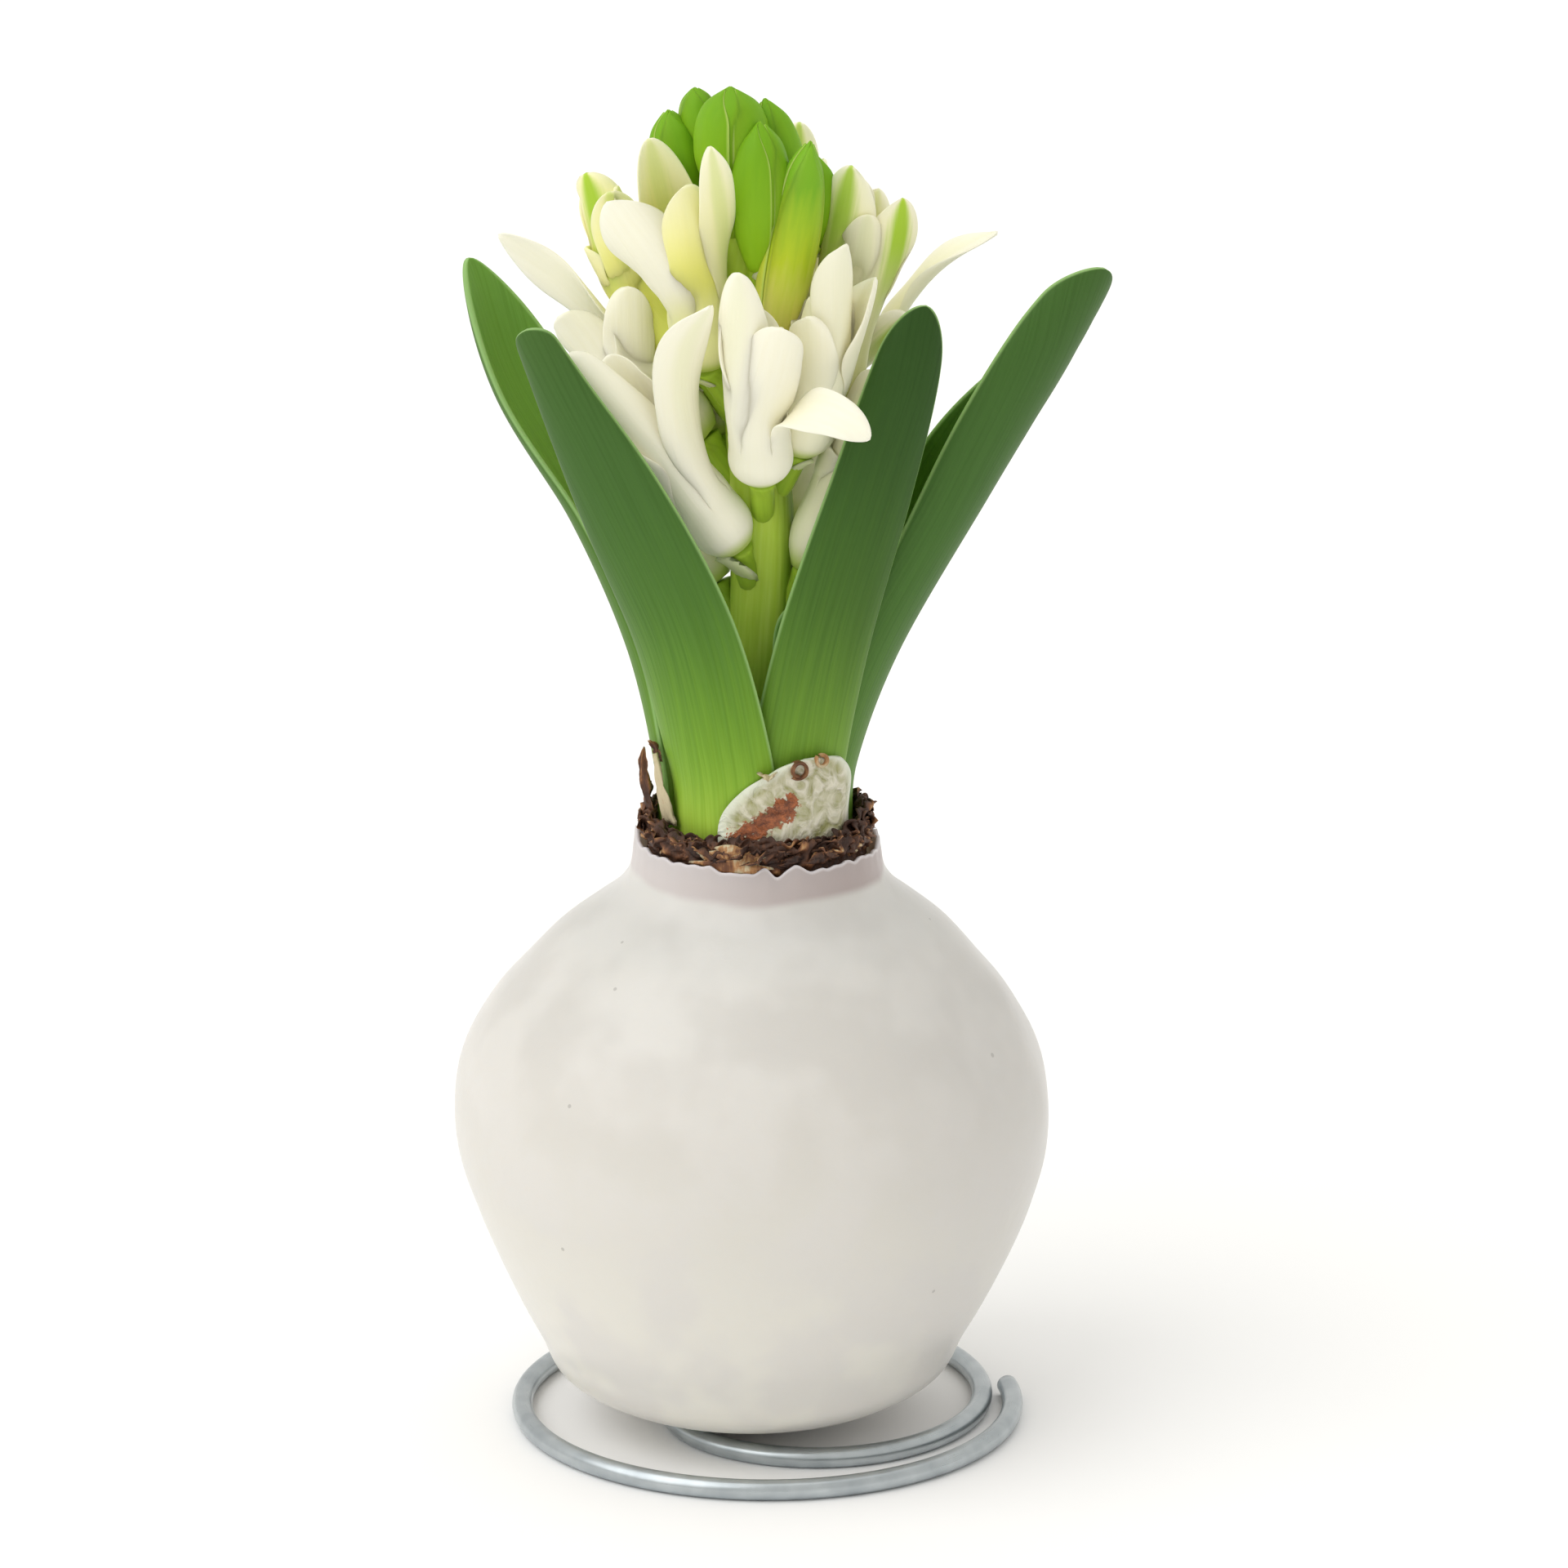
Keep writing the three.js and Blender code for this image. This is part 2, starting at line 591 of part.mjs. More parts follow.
function floretGeometry(frame, tubeLength, roll, tepals) {
  const { base, axis, up, across } = frame;
  const skin = new Skin();
  const mouth = offset(base, axis, tubeLength);
  const around = (degrees) => offset(point(0, 0, 0), up, Math.cos(radians(degrees)),
    across, Math.sin(radians(degrees)));
  const ringAt = (share, radius) => skin.addAll(Array.from({ length: 12 }, (_, i) => (
    offset(offset(base, axis, tubeLength * share), around(roll - 30 + 30 * i), radius)
  )));
  const half = TEPAL_THICKNESS / 2;
  const mouthRing = Array.from({ length: 12 }, (_, i) => skin.add(
    offset(mouth, around(roll - 30 + 30 * i), TUBE_RADIUS + (i % 2 ? half : 0)),
  ));
  const innerMiddles = tepals.map((_, i) => skin.add(
    offset(mouth, around(roll + 60 * i), TUBE_RADIUS - half),
  ));
  const tube = [...TUBE_LEVELS.map(([share, size]) => ringAt(share, TUBE_RADIUS * size)), mouthRing];
  for (let i = 1; i < tube.length; i += 1) {
    skin.band(tube[i - 1], tube[i]);
  }
  skin.fan(tube[0].toReversed(), skin.add(base));
  const throatTop = mouthRing.map((corner, i) => (i % 2 ? innerMiddles[(i - 1) / 2] : corner));
  const throat = ringAt(0.6, TUBE_RADIUS - 2 * half);
  skin.band(throatTop, throat);
  skin.fan(throat, skin.add(offset(base, axis, tubeLength * 0.4)));
  const room = (place) => offset(place, mouth, -1).projectOnPlane(axis).length();
  tepals.forEach((tepal, i) => {
    const outward = around(roll + 60 * i);
    const course = tepalCourse(mouth, axis, outward, axis.clone().cross(outward), tepal);
    let row = [mouthRing[2 * i], mouthRing[2 * i + 1], mouthRing[(2 * i + 2) % 12], innerMiddles[i]];
    TEPAL_ROWS.forEach((t) => {
      const next = skin.addAll(tepalRow(course[Math.round(t * TEPAL_STEPS)], tepal, room));
      skin.bladeBand(row, next);
      row = next;
    });
    skin.fan(row, skin.add(course.at(-1).place));
  });
  return skin.geometry();
}

// Florets: each tepal is open, curl, side, twist, length and width
const tepal = ([open, curl, side, twist, length, width]) => (
  { open, curl, side, twist, length, width }
);

const FLORETS = {
  floret_01: {
    height: 110, side: -122, reach: 5.6, azimuth: -165, elevation: 54, tube: 7.5, roll: -60,
    tepals: [[19, 48, 18.6, -45, 28, 6.8], [6, 4, 0, 0, 15, 7.4], [-5, 11, 0, 15, 20.2, 9.2],
      [4, 4, 0, 0, 16, 7.4], [2, 4, 0, 0, 16, 7.4], [-1, 1, -4.1, 10, 25, 8.8]],
  },
  floret_02: {
    height: 118.8, side: -86, reach: 6.6, azimuth: -97, elevation: 68, tube: 6, roll: 0,
    tepals: [[4, 8, 0, 0, 15, 7.4], [4, 4, 0, 0, 16, 7.4], [-8, 2, -1.6, 50, 23.5, 8.4],
      [-2, -6, 14.6, 0, 17.5, 9.2], [60, 56, 0, 60, 17.5, 5.6], [4, 0, 0, 0, 14, 7]],
  },
  floret_03: {
    height: 121.4, side: -37, reach: 6.2, azimuth: -42, elevation: 72, tube: 7, roll: 0,
    tepals: [[6, 0, 2.4, 0, 11, 7.4], [2, 0, 0, 0, 13, 6.8], [10, 0, -13, 0, 12.7, 6.8],
      [-11, 1, -6, 0, 21, 8.4], [2, 2, 3, 0, 16, 8.6], [5, 3, 7.3, 0, 13, 7.4]],
  },
  floret_04: {
    height: 126.3, side: 9, reach: 8.7, azimuth: 12, elevation: 78, tube: 8, roll: 30,
    tepals: [[3, 0, 0.8, 30, 20.4, 8.8], [3, -2, -3.2, 0, 15.2, 6.8], [9, -16, -0.8, -50, 17.6, 8.6],
      [14, -11, -3.2, 20, 14.8, 7.6], [1, -3, -7.3, 0, 17.3, 7.6], [-8, 6, -1.6, 0, 18.5, 7.6]],
  },
  floret_05: {
    height: 131.5, side: -143, reach: 6.4, azimuth: -150, elevation: 80, tube: 6, roll: -35,
    tepals: [[10, -7, -17.4, -85, 23.4, 5.1], [5, -7, 0, 0, 9, 7.6], [3, -8, 4.1, 0, 21.8, 9.2],
      [-9, 3, 0.8, 0, 12, 7.4], [7, 2, -28.4, 20, 17.5, 10], [6, -8, -1.6, 0, 17.4, 8]],
  },
  floret_06: {
    height: 129.6, side: 157, reach: 6.3, azimuth: 166, elevation: 50, tube: 9, roll: 0,
    tepals: [[7, 13, -1.6, 0, 14.6, 7.2], [6, 17, 0, 0, 15.4, 7.2], [-5, -8, -14.6, 0, 16.8, 7.2],
      [-6, -4, -2, 0, 11, 7.2], [-28, 7, 9.7, 20, 19, 10], [6, 2, 17.8, 0, 14.8, 7.6]],
  },
  floret_07: {
    height: 122, side: 174, reach: 6, azimuth: 173, elevation: 37.5, tube: 8, roll: -20,
    tepals: [[12, -2, -1.6, 0, 9, 6.6], [12, -21, 0.8, 25, 26, 6.2], [10, 10, 0, 0, 10, 6.6],
      [-12, 9, -3.2, 0, 10, 6.4], [-24, 22, 9.7, 45, 15, 8.6], [10, -2, 50.2, 0, 14, 6.6]],
  },
  floret_08: {
    height: 120.8, side: 77, reach: 7, azimuth: 12, elevation: 48, tube: 12, roll: 0,
    tepals: [[0, 0, 0, 0, 6.5, 6.4], [4, 6, 0, 0, 6.5, 6.4], [6, 0, 0, 0, 9.5, 7],
      [-8, 34, 0, 0, 24, 5.6], [4, 6, 0, 0, 6.5, 6.4], [4, 6, 0, 0, 6.5, 6.4]],
  },
  floret_09: {
    height: 106.6, side: -29, reach: 5.9, azimuth: 7, elevation: 68, tube: 11, roll: 0,
    tepals: [[4, 6, 0, 0, 5, 7], [4, 6, 0, 0, 15, 7], [6, 6, 0, 0, 15, 7],
      [2, 4, 0, 0, 19, 7], [6, 4, 0, 0, 15, 7], [4, 6, 0, 0, 9, 7]],
  },
  floret_10: {
    height: 109.6, side: 60, reach: 5.8, azimuth: 70, elevation: 44, tube: 9, roll: 0,
    tepals: Array(6).fill([12, 20, 0, 0, 10, 6.8]),
  },
  floret_11: {
    height: 104, side: 165, reach: 5.8, azimuth: 163, elevation: 50, tube: 8, roll: 30,
    tepals: Array(6).fill([12, 12, 0, 0, 10, 6.4]),
  },
  floret_12: {
    height: 121, side: 128, reach: 6, azimuth: 122, elevation: 52, tube: 10, roll: 0,
    tepals: Array(6).fill([12, 18, 0, 0, 15, 6.8]),
  },
  floret_13: {
    height: 130.4, side: 58, reach: 7.3, azimuth: 74, elevation: 84, tube: 9.4, roll: 0,
    tepals: [[8, -12, 0, 0, 15, 7.4], [8, -12, 0, 0, 13, 7.4], [8, -12, 0, 0, 14, 7.4],
      [8, -12, 0, 0, 18, 6.4], [8, -12, 0, 0, 17, 7.4], [8, -12, 0, 0, 15, 7.4]],
  },
  floret_14: {
    height: 134, side: 108, reach: 6, azimuth: 106, elevation: 62, tube: 10, roll: 30,
    tepals: Array(6).fill([8, -12, 0, 0, 15, 7.4]),
  },
};

// Buds: green and closed. The longest is about to open.
const BUDS = [
  { height: 152, side: -120, reach: 1.8, azimuth: -100, elevation: 87, length: 13.2, radius: 4.2 },
  { height: 146.8, side: 163, reach: 6.4, azimuth: 180, elevation: 80, length: 15, radius: 3.1 },
  { height: 155.2, side: 150, reach: 4.5, azimuth: 170, elevation: 82, length: 9, radius: 2.2 },
  { height: 146.2, side: 10, reach: 5.8, azimuth: -165, elevation: 79, length: 17.4, radius: 3 },
  { height: 144, side: -63, reach: 4.5, azimuth: -95, elevation: 86, length: 17.7, radius: 3.45 },
  { height: 134, side: -58, reach: 5, azimuth: -20, elevation: 79, length: 26, radius: 3.1 },
  { height: 145.5, side: 12, reach: 8.2, azimuth: 0, elevation: 85, length: 10.5, radius: 2.2 },
  { height: 147, side: 135, reach: 5.4, azimuth: 140, elevation: 74, length: 13, radius: 3 },
  { height: 153, side: 95, reach: 4, azimuth: 95, elevation: 80, length: 9.6, radius: 2.5 },
  { height: 156, side: 100, reach: 3, azimuth: 100, elevation: 82, length: 7.4, radius: 2.4 },
];

function addFlowers() {
  const green = [scapeGeometry()];
  Object.entries(FLORETS).forEach(([name, spec]) => {
    const frame = flowerFrame(spec);
    green.push(stalkGeometry(frame));
    addPiece(name, floretGeometry(frame, spec.tube, spec.roll, spec.tepals.map(tepal)), petalWhite);
  });
  BUDS.forEach((spec) => {
    const frame = flowerFrame(spec);
    green.push(stalkGeometry(frame));
    green.push(budGeometry(frame, spec.length, spec.radius));
  });
  addPiece('scape', join(green), stemGreen);
}

addPiece('wire_stand', wireGeometry(), zincWire);
addPiece('wax_coat', waxGeometry(), wax);
addPiece('bulb', bulbGeometry(), bulbFlesh);
addPiece('tunic', tunicGeometry(), dryTunic);
const scaleBlade = strapGeometry(NECK_SCALE, SCALE_THICKNESS, SCALE_TIP, SCALE_ROWS);
addPiece('neck_scale', scaleBlade, paleScale);
Object.entries(LEAVES).forEach(([name, { stations, tip }]) => {
  addPiece(name, strapGeometry(stations, LEAF_THICKNESS, tip, LEAF_ROWS), leafGreen);
});
addFlowers();

// The origin is the middle of the footprint, on the surface that the wire stands on
const reach = new THREE.Box3().setFromObject(plant);
const middle = reach.getCenter(point(0, 0, 0));
plant.position.set(-middle.x, -middle.y, -reach.min.z);

export default plant;
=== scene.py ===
"""A hyacinth in bloom. Its bulb is dipped in white wax and stands on a flat spiral of zinc wire.

Points are worked out in millimetres about the centre of the wire's outer turn, +Z up, with the
camera's side at -Y, and each mesh is then moved to its place in the frame, in metres.
"""

import bpy
import numpy as np
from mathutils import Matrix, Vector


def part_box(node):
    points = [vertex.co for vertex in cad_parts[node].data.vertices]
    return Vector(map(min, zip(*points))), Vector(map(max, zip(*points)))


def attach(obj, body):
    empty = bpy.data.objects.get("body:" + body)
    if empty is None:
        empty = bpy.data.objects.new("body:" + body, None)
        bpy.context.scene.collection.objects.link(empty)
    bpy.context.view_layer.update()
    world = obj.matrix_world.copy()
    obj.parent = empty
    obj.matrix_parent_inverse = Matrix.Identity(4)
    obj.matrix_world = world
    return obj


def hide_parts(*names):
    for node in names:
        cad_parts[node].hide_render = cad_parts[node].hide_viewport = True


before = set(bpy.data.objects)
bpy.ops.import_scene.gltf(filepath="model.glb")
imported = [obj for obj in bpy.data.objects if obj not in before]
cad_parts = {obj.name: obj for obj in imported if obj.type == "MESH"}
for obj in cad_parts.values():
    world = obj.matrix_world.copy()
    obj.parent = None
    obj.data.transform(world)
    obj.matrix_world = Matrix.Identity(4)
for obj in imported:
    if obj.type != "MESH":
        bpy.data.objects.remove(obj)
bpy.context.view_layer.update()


# The wire stand. One length of zinc-coated steel wire, 2.5 mm across, is wound flat into an open
# spiral, and its inner end is bent up into the bulb's base. The waxed bulb stands on its turns.
MM = 0.001
WIRE_RADIUS = 1.25
RING_RADIUS = 29.8
CUT_END_ANGLE = 11
TURN_STEP = 60
# The centre line's radius at each step round, from the cut end in to the bend
TURN_RADII = [RING_RADIUS] * 5 + [29.2, 26.6, 22.4, 16.4, 11.8, 9.2, 7.8, 6.4, 5.4]
TURN_SWEEP = TURN_STEP * (len(TURN_RADII) - 1)
SPIKE_BEND = 3
SPIKE_TOP = 16
TURN_ROWS, BEND_ROWS, SPIKE_ROWS = 260, 15, 12
WIRE_SIDES = 20

wire_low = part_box("wire_stand")[0]
RING_REACH = MM * (RING_RADIUS + WIRE_RADIUS)
PLACE = np.array([wire_low.x, wire_low.y, 0]) + RING_REACH * np.array([1, 1, 0])


def unit(vectors):
    """Vectors divided by their length."""
    vectors = np.asarray(vectors, float)
    return vectors / np.linalg.norm(vectors, axis=-1, keepdims=True)


def heading(azimuth, elevation=0.0):
    """The unit vector with this azimuth from +X and this elevation, both in degrees."""
    azimuth, elevation = np.radians(azimuth), np.radians(elevation)
    return np.stack([
        np.cos(elevation) * np.cos(azimuth),
        np.cos(elevation) * np.sin(azimuth),
        np.sin(elevation) + 0 * azimuth,
    ], -1)


def along(stations, share):
    """A smooth curve through evenly spaced stations, read at shares from 0 to 1. Each span is a
    cubic whose slope at a station is half the step between that station's two neighbours."""
    stations = np.asarray(stations, float)
    flat = stations.ndim == 1
    if flat:
        stations = stations[:, None]
    spans = len(stations) - 1
    padded = np.vstack([2 * stations[0] - stations[1], stations, 2 * stations[-1] - stations[-2]])
    reach = np.clip(share, 0, 1) * spans
    first = np.minimum(reach.astype(int), spans - 1)
    part = (reach - first)[:, None]
    a, b, c, d = (padded[first + k] for k in range(4))
    value = b + (c - a) * part / 2 + (2 * a - 5 * b + 4 * c - d) * part**2 / 2
    value = value + (3 * b - a - 3 * c + d) * part**3 / 2
    return value[:, 0] if flat else value


def tube(path, side, radius, sides=16):
    """Rings of points about a path. Each ring lies across the path's run, from its side vector,
    at its radius. Returns points, faces and the marks (round, along) in millimetres."""
    run = unit(np.gradient(path, axis=0))
    side = unit(side - (side * run).sum(-1, keepdims=True) * run)
    other = np.cross(run, side)
    radius = np.broadcast_to(radius, len(path))[:, None, None]
    angle = 2 * np.pi * np.arange(sides) / sides
    across, upward = np.cos(angle)[:, None], np.sin(angle)[:, None]
    ring = side[:, None] * across + other[:, None] * upward
    points = (path[:, None] + radius * ring).reshape(-1, 3)
    length = np.concatenate([[0], np.cumsum(np.linalg.norm(np.diff(path, axis=0), axis=-1))])
    marks = np.stack([
        np.broadcast_to(angle, (len(path), sides)) * radius[:, :, 0],
        np.repeat(length[:, None], sides, 1),
        np.zeros((len(path), sides)),
    ], -1).reshape(-1, 3)
    points = np.vstack([points, path[0], path[-1]])
    marks = np.vstack([marks, marks[0], marks[-1]])
    corner = np.arange(len(path) * sides).reshape(-1, sides)
    after = np.roll(corner, -1, 1)
    walls = np.stack([corner[:-1], after[:-1], after[1:], corner[1:]], -1).reshape(-1, 4)
    first, last = len(points) - 2, len(points) - 1
    foot = np.stack([after[0], corner[0], np.full(sides, first)], -1)
    head = np.stack([corner[-1], after[-1], np.full(sides, last)], -1)
    return points, [walls, foot, head], {"weave": marks}


def joined(parts):
    """Many (points, faces, marks) as one, each part's corner numbers moved on past the last's."""
    starts = np.cumsum([0] + [len(points) for points, _, _ in parts])
    points = np.concatenate([points for points, _, _ in parts])
    faces = [block + start for start, (_, blocks, _) in zip(starts, parts) for block in blocks]
    marks = {
        mark: np.concatenate([held[mark] for _, _, held in parts]) for mark in parts[0][2]
    }
    return points, faces, marks


def piece(name, shape, finish, node):
    """A smooth-shaded mesh of (points, faces, marks) on the frame's body, in place of a node."""
    points, faces, marks = shape
    mesh = bpy.data.meshes.new(name)
    corners = [row for block in faces for row in block.tolist()]
    mesh.from_pydata((PLACE + MM * points).tolist(), [], corners)
    mesh.polygons.foreach_set("use_smooth", np.ones(len(mesh.polygons), bool))
    for mark, values in marks.items():
        kind, field = ("FLOAT", "value") if values.ndim == 1 else ("FLOAT_VECTOR", "vector")
        layer = mesh.attributes.new(mark, kind, "POINT")
        layer.data.foreach_set(field, values.astype(np.float32).ravel())
    mesh.materials.append(finish)
    mesh.update()
    made = bpy.data.objects.new(name, mesh)
    bpy.context.scene.collection.objects.link(made)
    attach(made, "root")
    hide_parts(node)
    return made


def linear(colour):
    """An sRGB hex colour as the linear values that a shader takes."""
    shares = np.array([int(colour[i:i + 2], 16) for i in (1, 3, 5)]) / 255
    low = shares / 12.92
    high = ((shares + 0.055) / 1.055) ** 2.4
    return (*np.where(shares <= 0.04045, low, high).tolist(), 1.0)


def add(tree, kind, settings=None, inputs=None, stops=()):
    """Adds a shader node with its settings. Each input takes a link from a socket, or else a value.
    A colour ramp also takes its stops in order, each a position and an sRGB hex colour."""
    node = tree.nodes.new("ShaderNode" + kind)
    for setting, value in (settings or {}).items():
        setattr(node, setting, value)
    for socket, value in (inputs or {}).items():
        if isinstance(value, bpy.types.NodeSocket):
            tree.links.new(value, node.inputs[socket])
        else:
            node.inputs[socket].default_value = value
    for position, _ in stops[1:-1]:
        node.color_ramp.elements.new(position)
    for place, (position, colour) in enumerate(stops):
        node.color_ramp.elements[place].position = position
        node.color_ramp.elements[place].color = linear(colour)
    return node


def new_finish(name):
    """A new material and its node tree, emptied."""
    finish = bpy.data.materials.new(name)
    finish.use_nodes = True
    finish.node_tree.nodes.clear()
    return finish, finish.node_tree


def grain(tree, scale, detail, roughness=0.5):
    """Noise drawn out along a piece. It reads the piece's weave mark, in millimetres, so its two
    scales, across and along the piece, are in cells a millimetre."""
    weave = add(tree, "Attribute", {"attribute_name": "weave"})
    run = add(tree, "Mapping", None, {"Vector": weave.outputs["Vector"], "Scale": (*scale, 1)})
    return add(tree, "TexNoise", None, {
        "Vector": run.outputs[0], "Scale": 1.0, "Detail": detail, "Roughness": roughness,
    })


def show(tree, look, pattern=None, strength=0.0, depth=0.0):
    """Ends a tree in a shader with this look. Where a pattern is bright the surface stands out, by
    the depth in millimetres at full strength."""
    if pattern:
        look["Normal"] = add(tree, "Bump", None, {
            "Height": pattern.outputs["Fac"], "Strength": strength, "Distance": depth * MM,
        }).outputs[0]
    shader = add(tree, "BsdfPrincipled", None, look)
    add(tree, "OutputMaterial", None, {"Surface": shader.outputs["BSDF"]})


# Zinc-coated steel wire, drawn through a die: a cool silver metal with faint lengthwise draw
# lines about 0.15 mm apart, and soft cloudy spots in the zinc.
zinc_wire, tree = new_finish("zinc_coated_wire")
draw_lines = grain(tree, (6, 0.12), 3)
place = add(tree, "TexCoord")
clouds = add(tree, "TexNoise", None, {
    "Vector": place.outputs["Object"], "Scale": 0.3 / MM, "Detail": 2.0,
})
zinc_tone = add(tree, "Mix", {"data_type": "RGBA"}, {
    0: clouds.outputs["Fac"], 6: linear("#9ba3a8"), 7: linear("#ced4d6"),
})
zinc_gloss = add(tree, "MapRange", None, {
    "Value": draw_lines.outputs["Fac"], "To Min": 0.2, "To Max": 0.42,
})
show(tree, {
    "Base Color": zinc_tone.outputs[2], "Metallic": 1.0, "Roughness": zinc_gloss.outputs[0],
}, draw_lines, strength=0.15, depth=0.05)

swept = np.linspace(0, TURN_SWEEP, TURN_ROWS)
turn_path = along(TURN_RADII, swept / TURN_SWEEP)[:, None] * heading(CUT_END_ANGLE - swept)
turn_path[:, 2] = WIRE_RADIUS
turn_side = heading(CUT_END_ANGLE - swept)
spike_heading = heading(CUT_END_ANGLE - TURN_SWEEP - 90)
bend = np.radians(np.linspace(6, 90, BEND_ROWS))[:, None]
bend_path = turn_path[-1] + SPIKE_BEND * (
    np.sin(bend) * spike_heading + (1 - np.cos(bend)) * np.array([0, 0, 1])
)
spike_levels = np.linspace(WIRE_RADIUS + SPIKE_BEND + 0.6, SPIKE_TOP, SPIKE_ROWS)
spike_path = bend_path[-1] * [1, 1, 0] + spike_levels[:, None] * [0, 0, 1]
wire_path = np.vstack([turn_path, bend_path, spike_path])
# The sheared end's worn edge: the way in from the end, and the share of the wire's radius there
cut_edge = np.array([[0, 0.84], [0.05, 0.95], [0.16, 1]])
cut_end = turn_path[0] + cut_edge[:, :1] * unit(turn_path[1] - turn_path[0])
wire_path = np.vstack([cut_end, wire_path[1:]])
spike_side = np.repeat(turn_side[-1:], BEND_ROWS + SPIKE_ROWS, 0)
wire_side = np.vstack([turn_side[[0, 0]], turn_side, spike_side])
wire_radius = np.full(len(wire_path), WIRE_RADIUS)
wire_radius[:3] = WIRE_RADIUS * cut_edge[:, 1]
wire_shape = tube(wire_path, wire_side, wire_radius, WIRE_SIDES)
piece("wire", wire_shape, zinc_wire, "wire_stand")


# The wax coat. The bulb is dipped a few times in molten off-white wax, which leaves a smooth shell
# with slow lumps, thinner at the neck, where it ends in a thin uneven rim over the dark bulb.
BULB_CENTRE = -1.8
NECK_CENTRE = -1.2
WAX_DEPTH = 1.5
SPIKE_HOLE_RADIUS = 3.2
# The outer wall's level and radius, from the spike's hole up to the rim
WAX_PROFILE = np.array([
    [2.8, SPIKE_HOLE_RADIUS], [2.8, 11.5], [3.2, 15.2], [4.4, 19.2], [7.2, 23.6], [11.3, 25.6],
    [15.5, 27.8], [19.7, 29.8], [23.9, 31.6], [28.1, 33.1], [34.3, 34.7], [40.6, 34.9],
    [46.8, 33.8], [52.9, 30.6], [57.1, 27.2], [61.2, 23.6], [64.2, 20], [66.6, 17], [69, 15.3],
    [71.4, 14.8], [72.9, 14.6],
])
WAX_RIM_TOP = 73
# Bells on the rim, each an angle, a height and a width: a horn at the left, and two peaks at the
# front with a notch between them
WAX_RIM_BELLS = [(3.26, 1.9, 0.07), (4.76, 0.6, 0.06), (5.03, 0.6, 0.06), (4.89, -0.4, 0.05)]
WAX_LUMPS = 46
WAX_ROWS = 120
WAX_COLUMNS = 300
spike_place = bend_path[-1] * [1, 1, 0]


def smooth(share):
    """0 below 0, 1 above 1, and an even rise between them."""
    share = np.clip(share, 0, 1)
    return share * share * (3 - 2 * share)


def body_centre(level):
    """The middle of the bulb at a level: it moves a little to the right towards the neck."""
    shift = BULB_CENTRE + (NECK_CENTRE - BULB_CENTRE) * smooth((level - 50) / 20)
    return np.stack([shift, 0 * shift, 0 * shift], -1)


def wax_swell(angle, level):
    """The wax isn't quite round: its radius varies with two and three waves round the belly."""
    belly = smooth((level - WAX_PROFILE[0, 0]) / 12) * smooth((71 - level) / 12)
    return 1 + belly * (0.012 * np.cos(2 * angle - 0.6) + 0.01 * np.sin(3 * angle + level / 14))


def wax_rim_level(angle):
    """The rim's level: a little higher at the left than at the right, with small waves and
    scallops all round, and the bells on top of them."""
    rim = WAX_RIM_TOP + 0.3 * np.cos(angle - 2.8)
    rim = rim + 0.12 * np.sin(5 * angle) + 0.14 * np.sin(9 * angle + 1)
    rim = rim + 0.2 * (np.abs(np.sin(8 * angle + 2)) - 0.5)
    rim = rim + 0.24 * (0.5 - np.abs(np.sin(13 * angle + 0.5))) + 0.1 * np.sin(41 * angle)
    for place, height, width in WAX_RIM_BELLS:
        rim = rim + height * np.exp(-(((angle - place) / width) ** 2))
    return rim


random = np.random.default_rng(7)
lump_angle = random.uniform(0, 2 * np.pi, WAX_LUMPS)
lump_level = random.uniform(8, 68, WAX_LUMPS)
lump_width = random.uniform(5, 13, WAX_LUMPS)
lump_height = random.uniform(-0.5, 0.45, WAX_LUMPS)
# The dent and the upright ridge beside it on the right, and the knob of the right shoulder
lump_angle = np.append(lump_angle, np.radians([-32, -17, -14, -8]))
lump_level = np.append(lump_level, [49, 49, 42, 56])
lump_width = np.append(lump_width, [6, 3, 3, 4])
lump_height = np.append(lump_height, [-1.0, 0.5, 0.5, 0.6])


def wax_lumps(angle, level, radius):
    """Slow round swellings and dents of the wax, each a bell curve over the surface."""
    turn = (angle[..., None] - lump_angle + np.pi) % (2 * np.pi) - np.pi
    away = (turn * radius[..., None]) ** 2 + (level[..., None] - lump_level) ** 2
    return (lump_height * np.exp(-away / (2 * lump_width**2))).sum(-1)


profile_level, profile_radius = along(WAX_PROFILE, np.linspace(0, 1, WAX_ROWS)).T
wax_angle = np.linspace(0, 2 * np.pi, WAX_COLUMNS, endpoint=False)


def wax_wall(level, radius, inset, rim_drop):
    """A wall of rings at the profile's levels and radii, drawn in by the inset. Its last levels
    rise to the rim, less rim_drop, and its first rings move over to the spike's hole."""
    level = level[:, None] + 0 * wax_angle
    to_rim = smooth((level - 68) / 5)
    level = level + to_rim * (wax_rim_level(wax_angle) - rim_drop - WAX_PROFILE[-1, 0])
    swell = wax_swell(wax_angle, level)
    radius = radius[:, None] * swell
    lumps = wax_lumps(wax_angle + 0 * level, level, radius) * smooth((radius - 14) / 6)
    radius = radius + lumps - inset[:, None]
    round_body = radius[..., None] * heading(np.degrees(wax_angle))
    on_body = body_centre(level) + round_body
    on_hole = spike_place + SPIKE_HOLE_RADIUS * heading(np.degrees(wax_angle))
    near_hole = smooth((11.5 - radius) / 8.3)[..., None]
    place = on_body * (1 - near_hole) + on_hole * near_hole
    place[..., 2] = level
    return place


